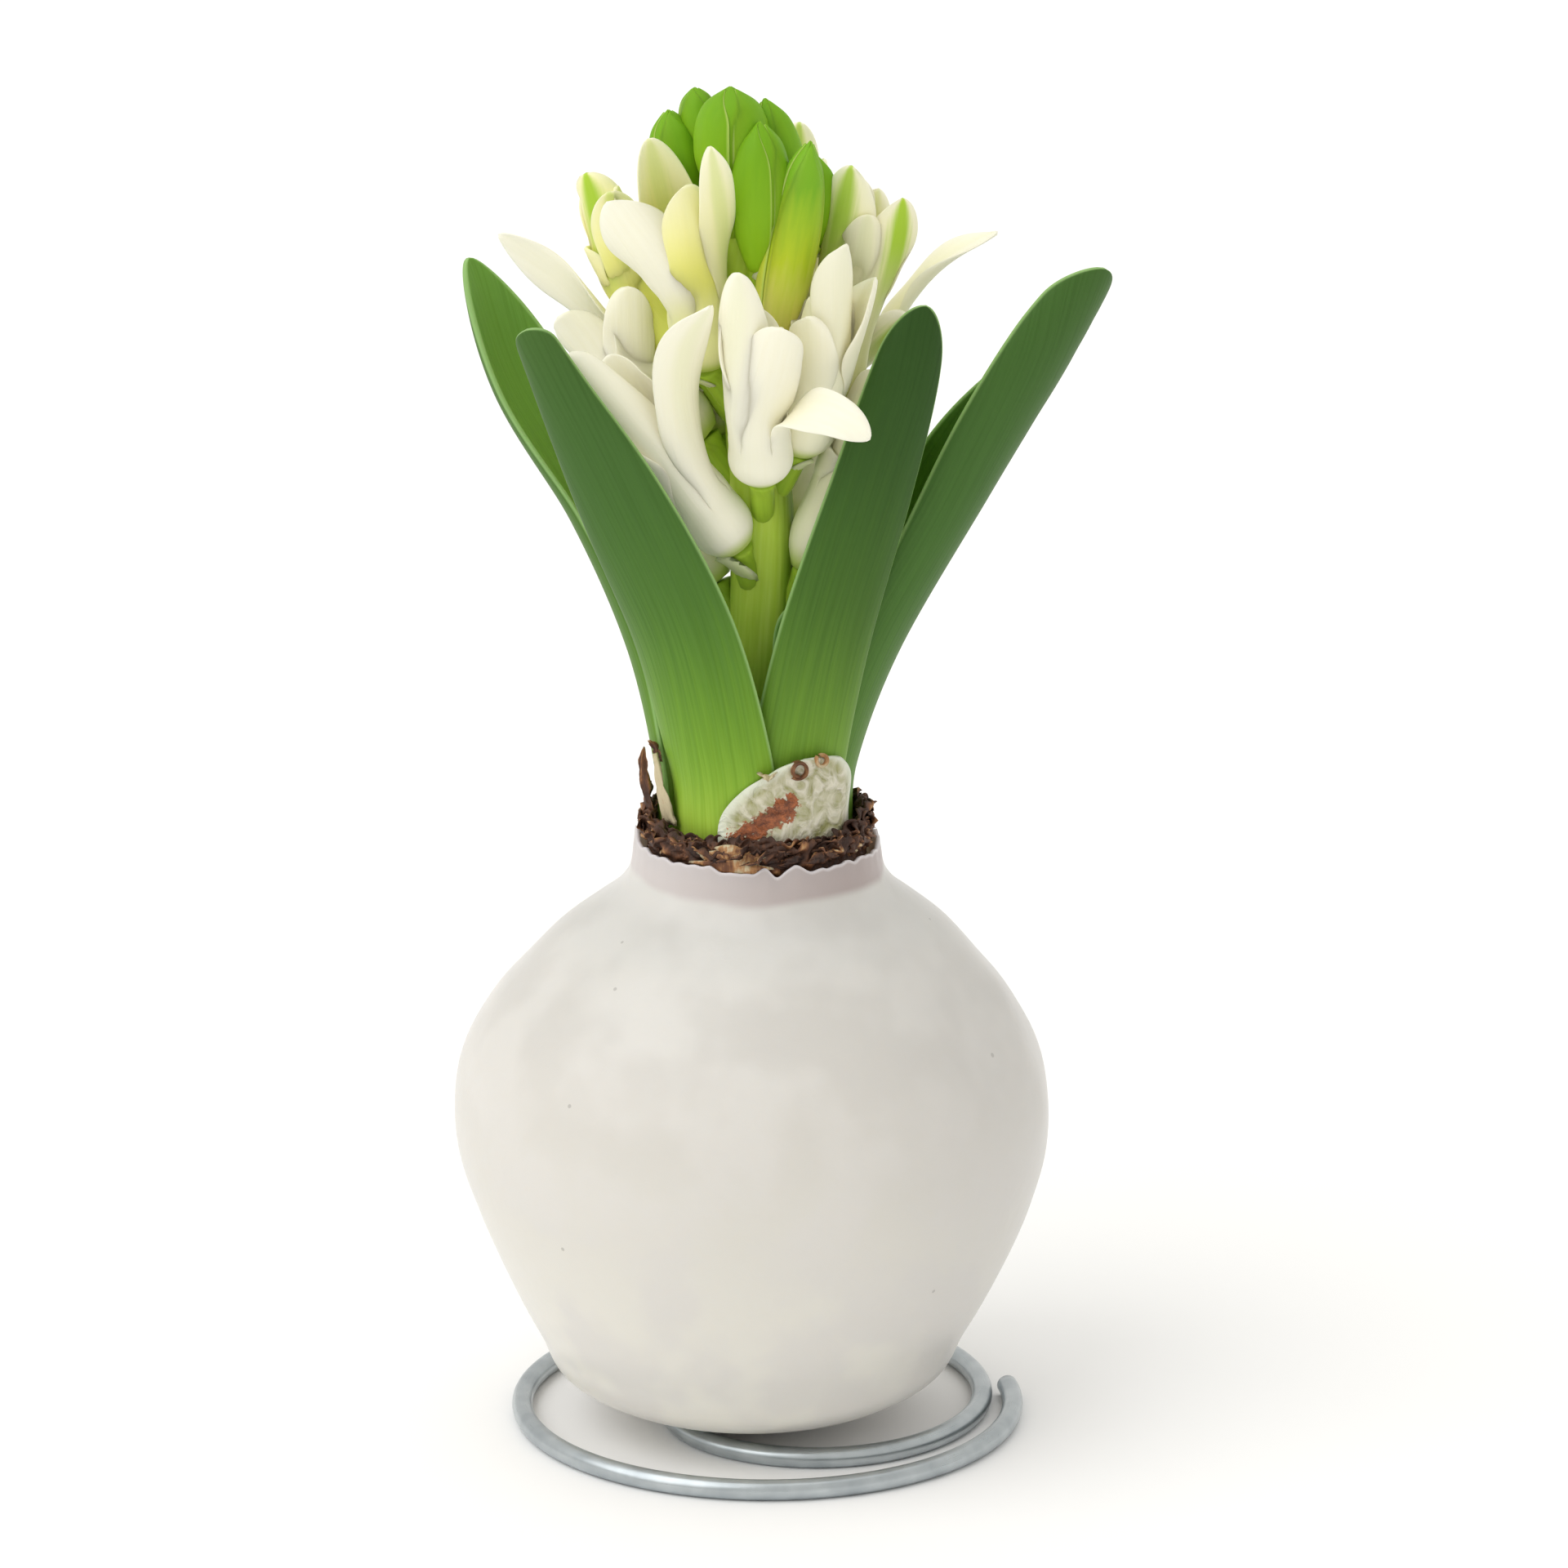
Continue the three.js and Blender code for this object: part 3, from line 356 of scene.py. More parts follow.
outer_wall = wax_wall(profile_level, profile_radius, 0 * profile_level, 0)
wall_depth = WAX_DEPTH - 0.5 * smooth((profile_level - 55) / 14)
wall_depth = wall_depth - 0.55 * smooth((profile_level - 69) / 4)
inner_wall = wax_wall(profile_level, profile_radius, wall_depth, 0.1)
inner_wall[..., 2] += WAX_DEPTH * smooth((11 - inner_wall[..., 2]) / 8)
inner_wall = inner_wall[::-4]
wax_grid = np.concatenate([outer_wall, inner_wall])
wax_corner = np.arange(wax_grid[..., 0].size).reshape(wax_grid.shape[:2])
wax_after = np.roll(wax_corner, -1, 1)
wax_up, wax_up_after = np.roll(wax_corner, -1, 0), np.roll(wax_after, -1, 0)
wax_faces = np.stack([wax_corner, wax_after, wax_up_after, wax_up], -1).reshape(-1, 4)
below_rim = wax_rim_level(wax_angle) - wax_grid[..., 2]
band_depth = WAX_RIM_TOP - wax_grid[..., 2] + 0.7 * (1 + np.sin(wax_angle))
wax_shape = (wax_grid.reshape(-1, 3), [wax_faces], {
    "below_rim": below_rim.ravel(), "band_depth": band_depth.ravel(),
})

# Paraffin wax, dipped and left to set: off-white and milky, with light going a few millimetres in,
# and a soft gloss. It is cloudy and has a few specks. Its colour is darkened towards the top and
# greyer on the right side as painted shade. Its thin neck lets the dark bulb show as a mauve-grey
# band, whose right side is painted darker as shade.
wax_finish, tree = new_finish("dipped_paraffin_wax")
place = add(tree, "TexCoord")
heights = add(tree, "SeparateXYZ", None, {0: place.outputs["Object"]})
# Darker towards the top: painted shade.
height_share = add(tree, "MapRange", None, {
    "Value": heights.outputs["Z"], "From Min": 4 * MM, "From Max": 54 * MM,
})
body_tone = add(tree, "Mix", {"data_type": "RGBA"}, {
    0: height_share.outputs[0], 6: linear("#e8e4d9"), 7: linear("#d0ccc6"),
})
mottle = add(tree, "TexNoise", None, {
    "Vector": place.outputs["Object"], "Scale": 0.09 / MM, "Detail": 2.0,
})
mottle_share = add(tree, "MapRange", {"interpolation_type": "SMOOTHSTEP"}, {
    "Value": mottle.outputs["Fac"], "From Min": 0.38, "From Max": 0.62, "To Max": 0.9,
})
# Greyer on the right side: painted shade.
right_side_painted_shade = add(tree, "MapRange", {"interpolation_type": "SMOOTHSTEP"}, {
    "Value": heights.outputs["X"], "From Min": 2 * MM, "From Max": 30 * MM, "To Max": 0.45,
})
rim_depth = add(tree, "Attribute", {"attribute_name": "below_rim"})
band_level = add(tree, "Attribute", {"attribute_name": "band_depth"})
band_edge = add(tree, "TexNoise", None, {
    "Vector": place.outputs["Object"], "Scale": 0.1 / MM, "Detail": 1.0,
})
band_place = add(tree, "Math", {"operation": "MULTIPLY_ADD"}, {
    0: band_edge.outputs["Fac"], 1: 2.0, 2: band_level.outputs["Fac"],
})
band = add(tree, "MapRange", {"interpolation_type": "SMOOTHSTEP"}, {
    "Value": band_place.outputs[0], "From Min": 4.4, "From Max": 5.6, "To Min": 1.0, "To Max": 0.0,
})
# The band's right side is darker: painted shade.
band_side = add(tree, "MapRange", None, {
    "Value": heights.outputs["X"], "From Min": -14 * MM, "From Max": 8 * MM,
})
band_tone = add(tree, "Mix", {"data_type": "RGBA"}, {
    0: band_side.outputs[0], 6: linear("#cdc4c1"), 7: linear("#ada09d"),
})
edge = add(tree, "MapRange", None, {
    "Value": rim_depth.outputs["Fac"], "From Min": 0.1, "From Max": 0.45,
    "To Min": 1.0, "To Max": 0.0,
})
specks = add(tree, "TexVoronoi", None, {"Vector": place.outputs["Object"], "Scale": 0.16 / MM})
speck_size = add(tree, "SeparateColor", None, {0: specks.outputs["Color"]})
speck_reach = add(tree, "MapRange", None, {
    "Value": speck_size.outputs["Red"], "From Min": 0.4, "To Max": 0.05,
})
speck = add(tree, "Math", {"operation": "LESS_THAN"}, {
    0: specks.outputs["Distance"], 1: speck_reach.outputs[0],
})
speck_share = add(tree, "Math", {"operation": "MULTIPLY"}, {0: speck.outputs[0], 1: 0.45})
wax_tone = body_tone
for share, colour in (
    (mottle_share, linear("#dad6d0")), (right_side_painted_shade, linear("#bdbbb9")),
    (band, band_tone.outputs[2]), (edge, linear("#d9d0d0")), (speck_share, linear("#8f8b86")),
):
    wax_tone = add(tree, "Mix", {"data_type": "RGBA"}, {
        0: share.outputs[0], 6: wax_tone.outputs[2], 7: colour,
    })
ripple = add(tree, "TexNoise", None, {
    "Vector": place.outputs["Object"], "Scale": 0.35 / MM, "Detail": 3.0,
})
show(tree, {
    "Base Color": wax_tone.outputs[2], "Roughness": 0.3, "IOR": 1.44,
    "Subsurface Weight": 0.35, "Subsurface Radius": (1.0, 0.85, 0.7), "Subsurface Scale": 4 * MM,
}, ripple, strength=0.35, depth=0.25)
piece("wax", wax_shape, wax_finish, "wax_coat")


# The bulb inside the wax. Only the top of its neck shows, down among the leaves, where it is
# cut short and dry: dull and rough, straw to dark brown. The CAD node stays.
bulb_finish, tree = new_finish("bulb_flesh")
place = add(tree, "TexCoord")
flesh_noise = add(tree, "TexNoise", None, {
    "Vector": place.outputs["Object"], "Scale": 0.5 / MM, "Detail": 4.0,
})
flesh_tone = add(tree, "Mix", {"data_type": "RGBA"}, {
    0: flesh_noise.outputs["Fac"], 6: linear("#4a2f1c"), 7: linear("#c2b48a"),
})
show(tree, {
    "Base Color": flesh_tone.outputs[2], "Roughness": 0.7,
}, flesh_noise, strength=0.6, depth=0.4)
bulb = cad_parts["bulb"]
bulb.data.materials.clear()
bulb.data.materials.append(bulb_finish)


# The leaves. Each is a thick channelled strap with a hooded tip that grows from the bulb's neck:
# pale yellow-green where it comes out of the bulb, dark green above, with fine lengthwise veins.
LEAF_THICKNESS = 1.2
# Each leaf is the share of its length that the tip takes, and its stations. A station is x, y, z,
# the azimuth that the back faces, the left and right half widths and the channel's radius
LEAVES = {
    "leaf_front_left": (0.06, [
        [-6.6, -9.1, 71.4, -125, 9.6, 8, 9],
        [-6.7, -9.2, 77.3, -125, 10, 8.4, 9],
        [-7.4, -10.5, 85.6, -122, 10, 8.3, 9.5],
        [-10.6, -12, 101, -118, 8.5, 7.3, 11],
        [-17.5, -13.5, 117.2, -112, 6.3, 6, 9],
        [-24.1, -14.5, 131.1, -110, 4.2, 3.6, 4.4],
        [-27.7, -15, 138.6, -112, 2.9, 2.4, 2.4],
    ]),
    "leaf_front_right": (0.13, [
        [4.4, -8.6, 71.4, -62, 6.2, 7, 8.6],
        [4.4, -8.7, 77.1, -62, 6.5, 7.3, 9],
        [4.4, -9.3, 85.3, -66, 6.5, 7.3, 9.5],
        [7.2, -9.5, 100.3, -68, 6, 6.8, 11],
        [12.5, -9, 117.9, -74, 5.3, 5.6, 9],
        [16.5, -8.5, 130.6, -78, 4.9, 4, 7],
        [18.5, -8, 139.8, -84, 3.3, 2.6, 4],
    ]),
    "leaf_back_left": (0.13, [
        [-11.7, 3, 71.4, 160, 12, 7, 9],
        [-11.9, 3, 74, 160, 12, 7, 9],
        [-12.3, 3, 81.7, 160, 10.5, 7, 9],
        [-15.7, 5, 96.3, 158, 10, 7.6, 8],
        [-22.1, 7, 111.8, 152, 9.5, 7.6, 7],
        [-30.9, 9, 126.8, 148, 8, 6, 6.5],
        [-35.4, 11, 141.1, 140, 3.5, 2.8, 4],
    ]),
    "leaf_back_right": (0.08, [
        [9.4, 2, 71.4, -4, 6.6, 8.8, 9],
        [9.6, 2, 74, -4, 6.8, 9.2, 9],
        [10.2, 2, 82, -4, 7.4, 10.5, 9],
        [15.4, 2.5, 96, -4, 9.5, 11.5, 8],
        [26, 3.5, 114.7, -5, 11, 13.5, 7.2],
        [34.7, 5, 129.7, -18, 9.5, 10.5, 7],
        [39.7, 6, 141, -45, 4.2, 4.2, 5],
    ]),
    "leaf_inner": (0.16, [
        [3.4, -5.6, 71.4, -70, 3.6, 3.5, 6],
        [3.4, -5.8, 77.2, -70, 3.6, 3.5, 6],
        [3.4, -6.2, 84.4, -70, 3.6, 3.5, 6],
        [3.4, -6.4, 91.4, -72, 3.3, 3.2, 6],
        [3.3, -6.4, 97.4, -78, 2.7, 2.7, 6],
        [2.5, -6.2, 102.8, -84, 1.9, 1.9, 5],
    ]),
}
# Colours from the bulb up to the tip: four of the back of each leaf, then three of its channel
LEAF_TONES = {
    "leaf_front_left": "#b6cf50 #7aaa2a #3f662a #46692c #a6c832 #66992a #4c7a2a",
    "leaf_front_right": "#a6c63e #7aa634 #385d21 #2b4c16 #9cbc38 #6c9a2c #4c7428",
    "leaf_back_left": "#9cbc40 #6c962e #4c7428 #4b7029 #a0c83a #84b040 #6c9a40",
    "leaf_back_right": "#84a838 #5c882c #43692b #426629 #6c9a20 #4c7c18 #3c6a14",
    "leaf_inner": "#86b02e #6e9e2c #5e8e28 #52802a #86b02e #6e9e2c #5e8e28",
}


def blade(middle, outward, half_thickness, marks):
    """A thin closed blade from the grid of its middle surface. The back is the grid moved out by
    the half thickness and the front is the grid moved in. They meet at the two side columns."""
    rows, columns = middle.shape[:2]
    lift = outward * half_thickness[..., None]

    def around(back, front):
        return np.concatenate([back, front[:, 1:-1][:, ::-1]], 1)

    points = around(middle + lift, middle - lift).reshape(-1, 3)
    corner = np.arange(len(points)).reshape(rows, -1)
    after = np.roll(corner, -1, 1)
    walls = np.stack([corner[:-1], after[:-1], after[1:], corner[1:]], -1).reshape(-1, 4)
    faces = [walls]
    back = np.arange(columns)
    front = np.concatenate([[0], np.arange(2 * columns - 3, columns - 1, -1), [columns - 1]])
    for row, turned in ((0, True), (rows - 1, False)):
        strip = np.stack([back[1:-2], back[2:-1], front[2:-1], front[1:-2]], -1)
        ends = np.array([[back[0], back[1], front[1]], [back[-2], back[-1], front[-2]]])
        for block in (strip, ends):
            block = corner[row][block]
            faces.append(block[:, ::-1] if turned else block)
    held = {mark: around(values, values) for mark, values in marks.items()}
    face_side = around(np.ones((rows, columns)), -np.ones((rows, columns)))
    held = {mark: values.reshape(len(points), *values.shape[2:]) for mark, values in held.items()}
    return points, faces, {**held, "back": face_side.ravel()}


def strap(stations, thickness, tip_share, rows=90, columns=23, wave=0.0):
    """A channelled strap. At each share of its length a centre, a back direction square to the
    run, and a channel radius give an arc, as far to each side as its half widths. The width is
    rounded to nothing over the tip, the thickness falls to nothing at the edges, and a wave
    ripples them in and out, as the square of the way across."""
    stations = np.asarray(stations, float)
    share = 1 - (1 - np.linspace(0, 1, rows)) ** 1.35
    centre = along(stations[:, :3], share)
    step = 1e-4
    run = unit(along(stations[:, :3], share + step) - along(stations[:, :3], share - step))
    facing = heading(along(stations[:, 3], share))
    back = unit(facing - (facing * run).sum(-1, keepdims=True) * run)
    side = np.cross(run, back)
    left, right, channel = along(stations[:, 4:], share).T
    tip = np.clip((share - 1 + tip_share) / tip_share, 0, 1)
    rounding = np.sqrt(1 - 0.9995 * tip**2.4)
    across = np.sin(np.pi / 2 * np.linspace(-1, 1, columns))
    half_width = np.where(across < 0, left[:, None], right[:, None])
    width = half_width * across * rounding[:, None]
    turn = width / channel[:, None]
    outward = side[:, None] * np.sin(turn)[..., None] + back[:, None] * np.cos(turn)[..., None]
    middle = centre[:, None] + channel[:, None, None] * (outward - back[:, None])
    ripple = wave * across**2 * np.sin(9 * share[:, None] + 2 * np.sign(across))
    middle = middle + outward * ripple[..., None]
    body = np.sqrt(1 - across**6)
    half = thickness / 2 * body * (0.35 + 0.65 * rounding[:, None])
    length = np.concatenate([[0], np.cumsum(np.linalg.norm(np.diff(centre, axis=0), axis=-1))])
    weave = np.stack([width, length[:, None] + 0 * width, 0 * width], -1)
    from_edge = half_width * (1 - np.abs(across)) * rounding[:, None]
    spread = np.stack([across + 0 * width, share[:, None] + 0 * width, from_edge], -1)
    return blade(middle, outward, half, {"weave": weave, "spread": spread})


def leaf_finish(name, tones):
    """A living leaf: a waxy cuticle with a soft gloss over green flesh. Streaks run along it about
    0.7 mm apart, and veins about 0.3 mm. Light goes a little way in, and its thin edge is paler."""
    finish, tree = new_finish(name)
    spread = add(tree, "Attribute", {"attribute_name": "spread"})
    spread_parts = add(tree, "SeparateXYZ", None, {0: spread.outputs["Vector"]})
    side = add(tree, "Attribute", {"attribute_name": "back"})
    streak = grain(tree, (1.4, 0.03), 4, roughness=0.6)
    drift = add(tree, "Math", {"operation": "MULTIPLY_ADD"}, {
        0: streak.outputs["Fac"], 1: 0.16, 2: -0.08,
    })
    level = add(tree, "Math", {"operation": "ADD"}, {
        0: spread_parts.outputs["Y"], 1: drift.outputs[0],
    })
    back_stops = list(zip((0.06, 0.3, 0.54, 0.88), tones[:4]))
    front_stops = list(zip((0.1, 0.45, 0.85), tones[4:]))
    back_ramp, front_ramp = (
        add(tree, "ValToRGB", None, {"Fac": level.outputs[0]}, stops)
        for stops in (back_stops, front_stops)
    )
    back_ramp.color_ramp.interpolation = front_ramp.color_ramp.interpolation = "B_SPLINE"
    on_back = add(tree, "MapRange", None, {
        "Value": side.outputs["Fac"], "From Min": -0.2, "From Max": 0.2,
    })
    flesh = add(tree, "Mix", {"data_type": "RGBA"}, {
        0: on_back.outputs[0], 6: front_ramp.outputs[0], 7: back_ramp.outputs[0],
    })
    veins = grain(tree, (3.2, 0.05), 2)
    vein_share = add(tree, "MapRange", None, {
        "Value": veins.outputs["Fac"], "From Min": 0.42, "From Max": 0.7, "To Max": 0.55,
    })
    vein_tone = add(tree, "HueSaturation", None, {
        "Saturation": 1.05, "Value": 0.78, "Color": flesh.outputs[2],
    })
    veined = add(tree, "Mix", {"data_type": "RGBA"}, {
        0: vein_share.outputs[0], 6: flesh.outputs[2], 7: vein_tone.outputs[0],
    })
    edge = add(tree, "MapRange", {"interpolation_type": "SMOOTHSTEP"}, {
        "Value": spread_parts.outputs["Z"], "From Min": 0.12, "From Max": 0.5,
        "To Min": 0.75, "To Max": 0.0,
    })
    edged = add(tree, "Mix", {"data_type": "RGBA"}, {
        0: edge.outputs[0], 6: veined.outputs[2], 7: linear("#9cc07a"),
    })
    show(tree, {
        "Base Color": edged.outputs[2], "Roughness": 0.52, "Specular IOR Level": 0.2,
        "Subsurface Weight": 0.2, "Subsurface Radius": (0.5, 1.0, 0.25),
        "Subsurface Scale": 1.2 * MM,
    }, veins, strength=0.3, depth=0.12)
    return finish


for leaf_name, (leaf_tip, leaf_stations) in LEAVES.items():
    leaf_shape = strap(leaf_stations, LEAF_THICKNESS, leaf_tip)
    finish = leaf_finish(leaf_name + "_green", LEAF_TONES[leaf_name].split())
    piece(leaf_name + "_blade", leaf_shape, finish, leaf_name)


# The neck scale. The pale stub of one of the bulb's fleshy scales wraps the leaves at the front
# right. It is thin and wrinkled, with an orange-brown scab on its left half.
SCALE_THICKNESS = 0.7
# The half width and the height that its shares of the way across and up stand for
SCALE_SPREAD = [9.5, 14.2]
# The line that the scab lies along, in millimetres across from the middle and up from the foot
SCAB_ENDS = np.array([[-7.4, 3.6], [-2.2, 7.0]])
# Its stations are a leaf's: place, facing, half widths and channel radius
NECK_SCALE = [
    [3.76, -10.62, 71.4, -63, 9.2, 9, 11.7],
    [3.85, -10.8, 75, -63, 9.9, 9.4, 11.9],
    [3.9, -10.89, 78.6, -63, 9.6, 9.2, 12],
    [4.04, -11.16, 81.8, -63, 7.4, 8.4, 12.3],
    [4.2, -11.47, 84.2, -63, 4.2, 6.8, 12.65],
    [4.3, -11.65, 85.9, -63, 2, 5, 12.85],
]

# Fleshy bulb scale, living tissue that has dried at its edge: cream mottled with olive, a soft
# gloss on wrinkles of every size, a whiter border and a rough corky scab. The olive lies in the
# wrinkles' hollows, where it is partly the scale's own mottling and partly painted shade.
scale_finish, tree = new_finish("fleshy_bulb_scale")
place = add(tree, "TexCoord")
spread = add(tree, "Attribute", {"attribute_name": "spread"})
wrinkle = add(tree, "TexNoise", None, {
    "Vector": place.outputs["Object"], "Scale": 0.4 / MM, "Detail": 6.0, "Distortion": 1.6,
})
# Olive in the wrinkles' hollows and cream on their crests: mottling and painted shade.
scale_tone = add(tree, "ValToRGB", None, {"Fac": wrinkle.outputs["Fac"]}, [
    (0.32, "#96955c"), (0.62, "#dbd6c2"),
])
from_scab = add(tree, "Attribute", {"attribute_name": "from_scab"})
crumbs = add(tree, "TexNoise", None, {
    "Vector": place.outputs["Object"], "Scale": 1.1 / MM, "Detail": 5.0, "Roughness": 0.7,
})
scab_reach = add(tree, "Math", {"operation": "MULTIPLY_ADD"}, {
    0: crumbs.outputs["Fac"], 1: 5.0, 2: from_scab.outputs["Fac"],
})
scab = add(tree, "MapRange", None, {
    "Value": scab_reach.outputs[0], "From Min": 3.9, "From Max": 4.2, "To Min": 1.0, "To Max": 0.0,
})
scab_grain = add(tree, "MapRange", None, {
    "Value": crumbs.outputs["Fac"], "From Min": 0.3, "From Max": 0.6,
})
scab_tone = add(tree, "Mix", {"data_type": "RGBA"}, {
    0: scab_grain.outputs[0], 6: linear("#bc6c3c"), 7: linear("#5e3018"),
})
edge_share = add(tree, "SeparateXYZ", None, {0: spread.outputs["Vector"]})
whitish = add(tree, "MapRange", {"interpolation_type": "SMOOTHSTEP"}, {
    "Value": edge_share.outputs["Z"], "From Min": 0.3, "From Max": 2.2,
    "To Min": 0.8, "To Max": 0.0,
})
bordered = add(tree, "Mix", {"data_type": "RGBA"}, {
    0: whitish.outputs[0], 6: scale_tone.outputs[0], 7: linear("#dfe3d2"),
})
stained = add(tree, "Mix", {"data_type": "RGBA"}, {
    0: scab.outputs[0], 6: bordered.outputs[2], 7: scab_tone.outputs[2],
})
show(tree, {
    "Base Color": stained.outputs[2], "Roughness": 0.45,
    "Subsurface Weight": 0.2, "Subsurface Radius": (1.0, 0.9, 0.6), "Subsurface Scale": 1 * MM,
}, wrinkle, strength=1.0, depth=0.9)

scale_points, scale_faces, scale_marks = strap(
    NECK_SCALE, SCALE_THICKNESS, tip_share=0.14, columns=61, wave=0.25)
scale_place = scale_marks["spread"][:, :2] * SCALE_SPREAD
scab_run = SCAB_ENDS[1] - SCAB_ENDS[0]
scab_share = np.clip((scale_place - SCAB_ENDS[0]) @ scab_run / (scab_run @ scab_run), 0, 1)
from_line = scale_place - SCAB_ENDS[0] - scab_share[:, None] * scab_run
scale_marks["from_scab"] = np.linalg.norm(from_line, axis=-1) + 0.7 * (1 - scab_share)
scale_shape = scale_points, scale_faces, scale_marks
piece("scale_blade", scale_shape, scale_finish, "neck_scale")


# The tunic. The bulb's dry brown skin stands up in a ragged, crumpled collar round the leaves,
# in papery layers and loose flakes that curl over the wax rim.
COLLAR_SIDES = 360
COLLAR_ROWS = 24
COLLAR_FOOT = 71.35
COLLAR_PHASE = 0.4
FLAKES = 120
FLAKE_ROWS = 15
TIP_ROWS = 26
# Half the thickness of the collar's layers, of the loose flakes and of the rolled tips
LAYER_HALF, FLAKE_HALF, TIP_HALF = 0.14, 0.09, 0.22
collar_random = np.random.default_rng(12)


def crumple(angle, level, phase):
    """Creases of a papery layer: sharp ridges that run up it, wide and fine, and soft rolls that
    run round it."""
    wide = 1 - np.abs(np.sin(11 * angle + 0.8 * level + phase + np.sin(4 * angle + 0.7 * level)))
    fine = 1 - np.abs(np.sin(23 * angle - 1.3 * level + 2 * phase + np.sin(7 * angle)))
    rolled = np.sin(2.6 * level + 3 * np.sin(3 * angle + phase))
    return 0.8 * (wide - 0.4) + 0.35 * (fine - 0.4) + 0.3 * rolled


def torn_top(angle, phase):
    """The torn edge's level: a little lower at the front and back than at the sides, in four slow
    waves with ragged teeth."""
    teeth = 0.7 * np.abs(np.sin(13 * angle + phase)) + 0.5 * np.abs(np.sin(29 * angle + 2 * phase))
    return 75.0 + 0.4 * np.cos(2 * angle) + 0.5 * np.sin(4 * angle + phase) + teeth


def collar_layer(foot_radius, top_radius, lift, phase, tone):
    """One papery layer: rings from the bulb's neck to the torn edge, flared and crumpled."""
    angle = np.linspace(0, 2 * np.pi, COLLAR_SIDES + 1)
    share = np.linspace(0, 1, COLLAR_ROWS)[:, None]
    top = torn_top(angle, phase) + lift
    level = COLLAR_FOOT + (top - COLLAR_FOOT) * share
    radius = foot_radius + (top_radius - foot_radius) * share**1.5
    creases = crumple(angle, level, phase)
    radius = radius + creases * smooth(share * 3)
    out = heading(np.degrees(angle))
    middle = body_centre(level) + radius[..., None] * out
    middle[..., 2] = level
    outward = np.broadcast_to(out, middle.shape)
    half = LAYER_HALF * np.ones(level.shape)
    half[:, 0] = half[:, -1] = 0
    weave = np.stack([angle * 13 + 0 * level, level, 0 * level], -1)
    # Paler on the crests of the creases: a painted highlight.
    crest_painted_highlight = 0.5 * np.clip(creases - 0.15, 0, 1)
    return blade(middle, outward, half, {"weave": weave, "tone": tone + crest_painted_highlight})


def flake(angle, radius, level, width, height, lean, curl, twist, tone):
    """A loose flake: a small strip that rises from its foot, leans out, curls over and turns about
    its run. Its edges are torn, and it is creased along a line that wanders across it."""
    share = np.linspace(0, 1, FLAKE_ROWS)
    out = heading(angle)
    tangent = np.cross([0, 0, 1], out)
    tilt = np.radians(lean + curl * share**1.5)
    run = np.cos(tilt)[:, None] * [0, 0, 1] + np.sin(tilt)[:, None] * out
    foot = body_centre(np.array(level)) + radius * out + [0, 0, level]
    centre = foot + np.cumsum(run, 0) * height / (FLAKE_ROWS - 1)
    turn = np.radians(twist * share)[:, None]
    side = np.cos(turn) * tangent + np.sin(turn) * np.cross(run, tangent)
    across = np.linspace(-1, 1, 9)
    torn = 1 + 0.2 * np.sin(17 * share + angle) + 0.12 * np.sin(31 * share + twist)
    narrowing = np.sqrt(1 - 0.97 * share**2) * torn
    reach = width / 2 * narrowing[:, None] * across
    normal = np.cross(side, run)[:, None]
    fold_place = across + 0.4 * np.sin(3 * share[:, None] + angle)
    buckle = 0.2 * min(width, 3) * np.abs(fold_place)
    buckle = buckle + 0.14 * np.sin(6 * across + 9 * share[:, None] + twist)
    middle = centre[:, None] + side[:, None] * reach[..., None] - normal * buckle[..., None]
    half = FLAKE_HALF * np.sqrt(1 - across**2) * np.ones((FLAKE_ROWS, 1))
    outward = np.broadcast_to(normal, middle.shape)
    weave = np.stack([reach + angle, share[:, None] * height + 0 * reach, 0 * reach], -1)
    edge_tone = 0.3 * across**6 + 0.2 * (share**6)[:, None]
    # Paler along the fold: a painted highlight.
    fold_painted_highlight = 0.25 * np.exp(-((fold_place / 0.12) ** 2))
    return blade(middle, outward, half, {"weave": weave, "tone": tone + (edge_tone + fold_painted_highlight)})


def curled_tip(angle, radius, level, loop, start, sweep, width, tone):
    """A dry tip rolled into a loop that is seen end on: a narrow band whose centre line winds in
    round a point beside the neck."""
    share = np.linspace(0, 1, TIP_ROWS)
    out = heading(angle)
    turn = np.radians(start + sweep * share)[:, None]
    round_way = np.cos(turn) * np.cross([0, 0, 1], out) + np.sin(turn) * [0, 0, 1]
    middle = body_centre(np.array(level)) + radius * out + [0, 0, level]
    path = middle + loop * (1 - 0.35 * share)[:, None] * round_way
    across = np.linspace(-1, 1, 5)
    reach = width / 2 * across * (0.5 + 0.5 * smooth(share * 4))[:, None]
    grid = path[:, None] + reach[..., None] * out
    half = TIP_HALF * np.sqrt(1 - across**2) * np.ones((TIP_ROWS, 1))
    outward = np.broadcast_to(round_way[:, None], grid.shape)
    weave = np.stack([reach, share[:, None] * loop * 4 + 0 * reach, 0 * reach], -1)
    return blade(grid, outward, half, {"weave": weave, "tone": tone + 0 * reach})


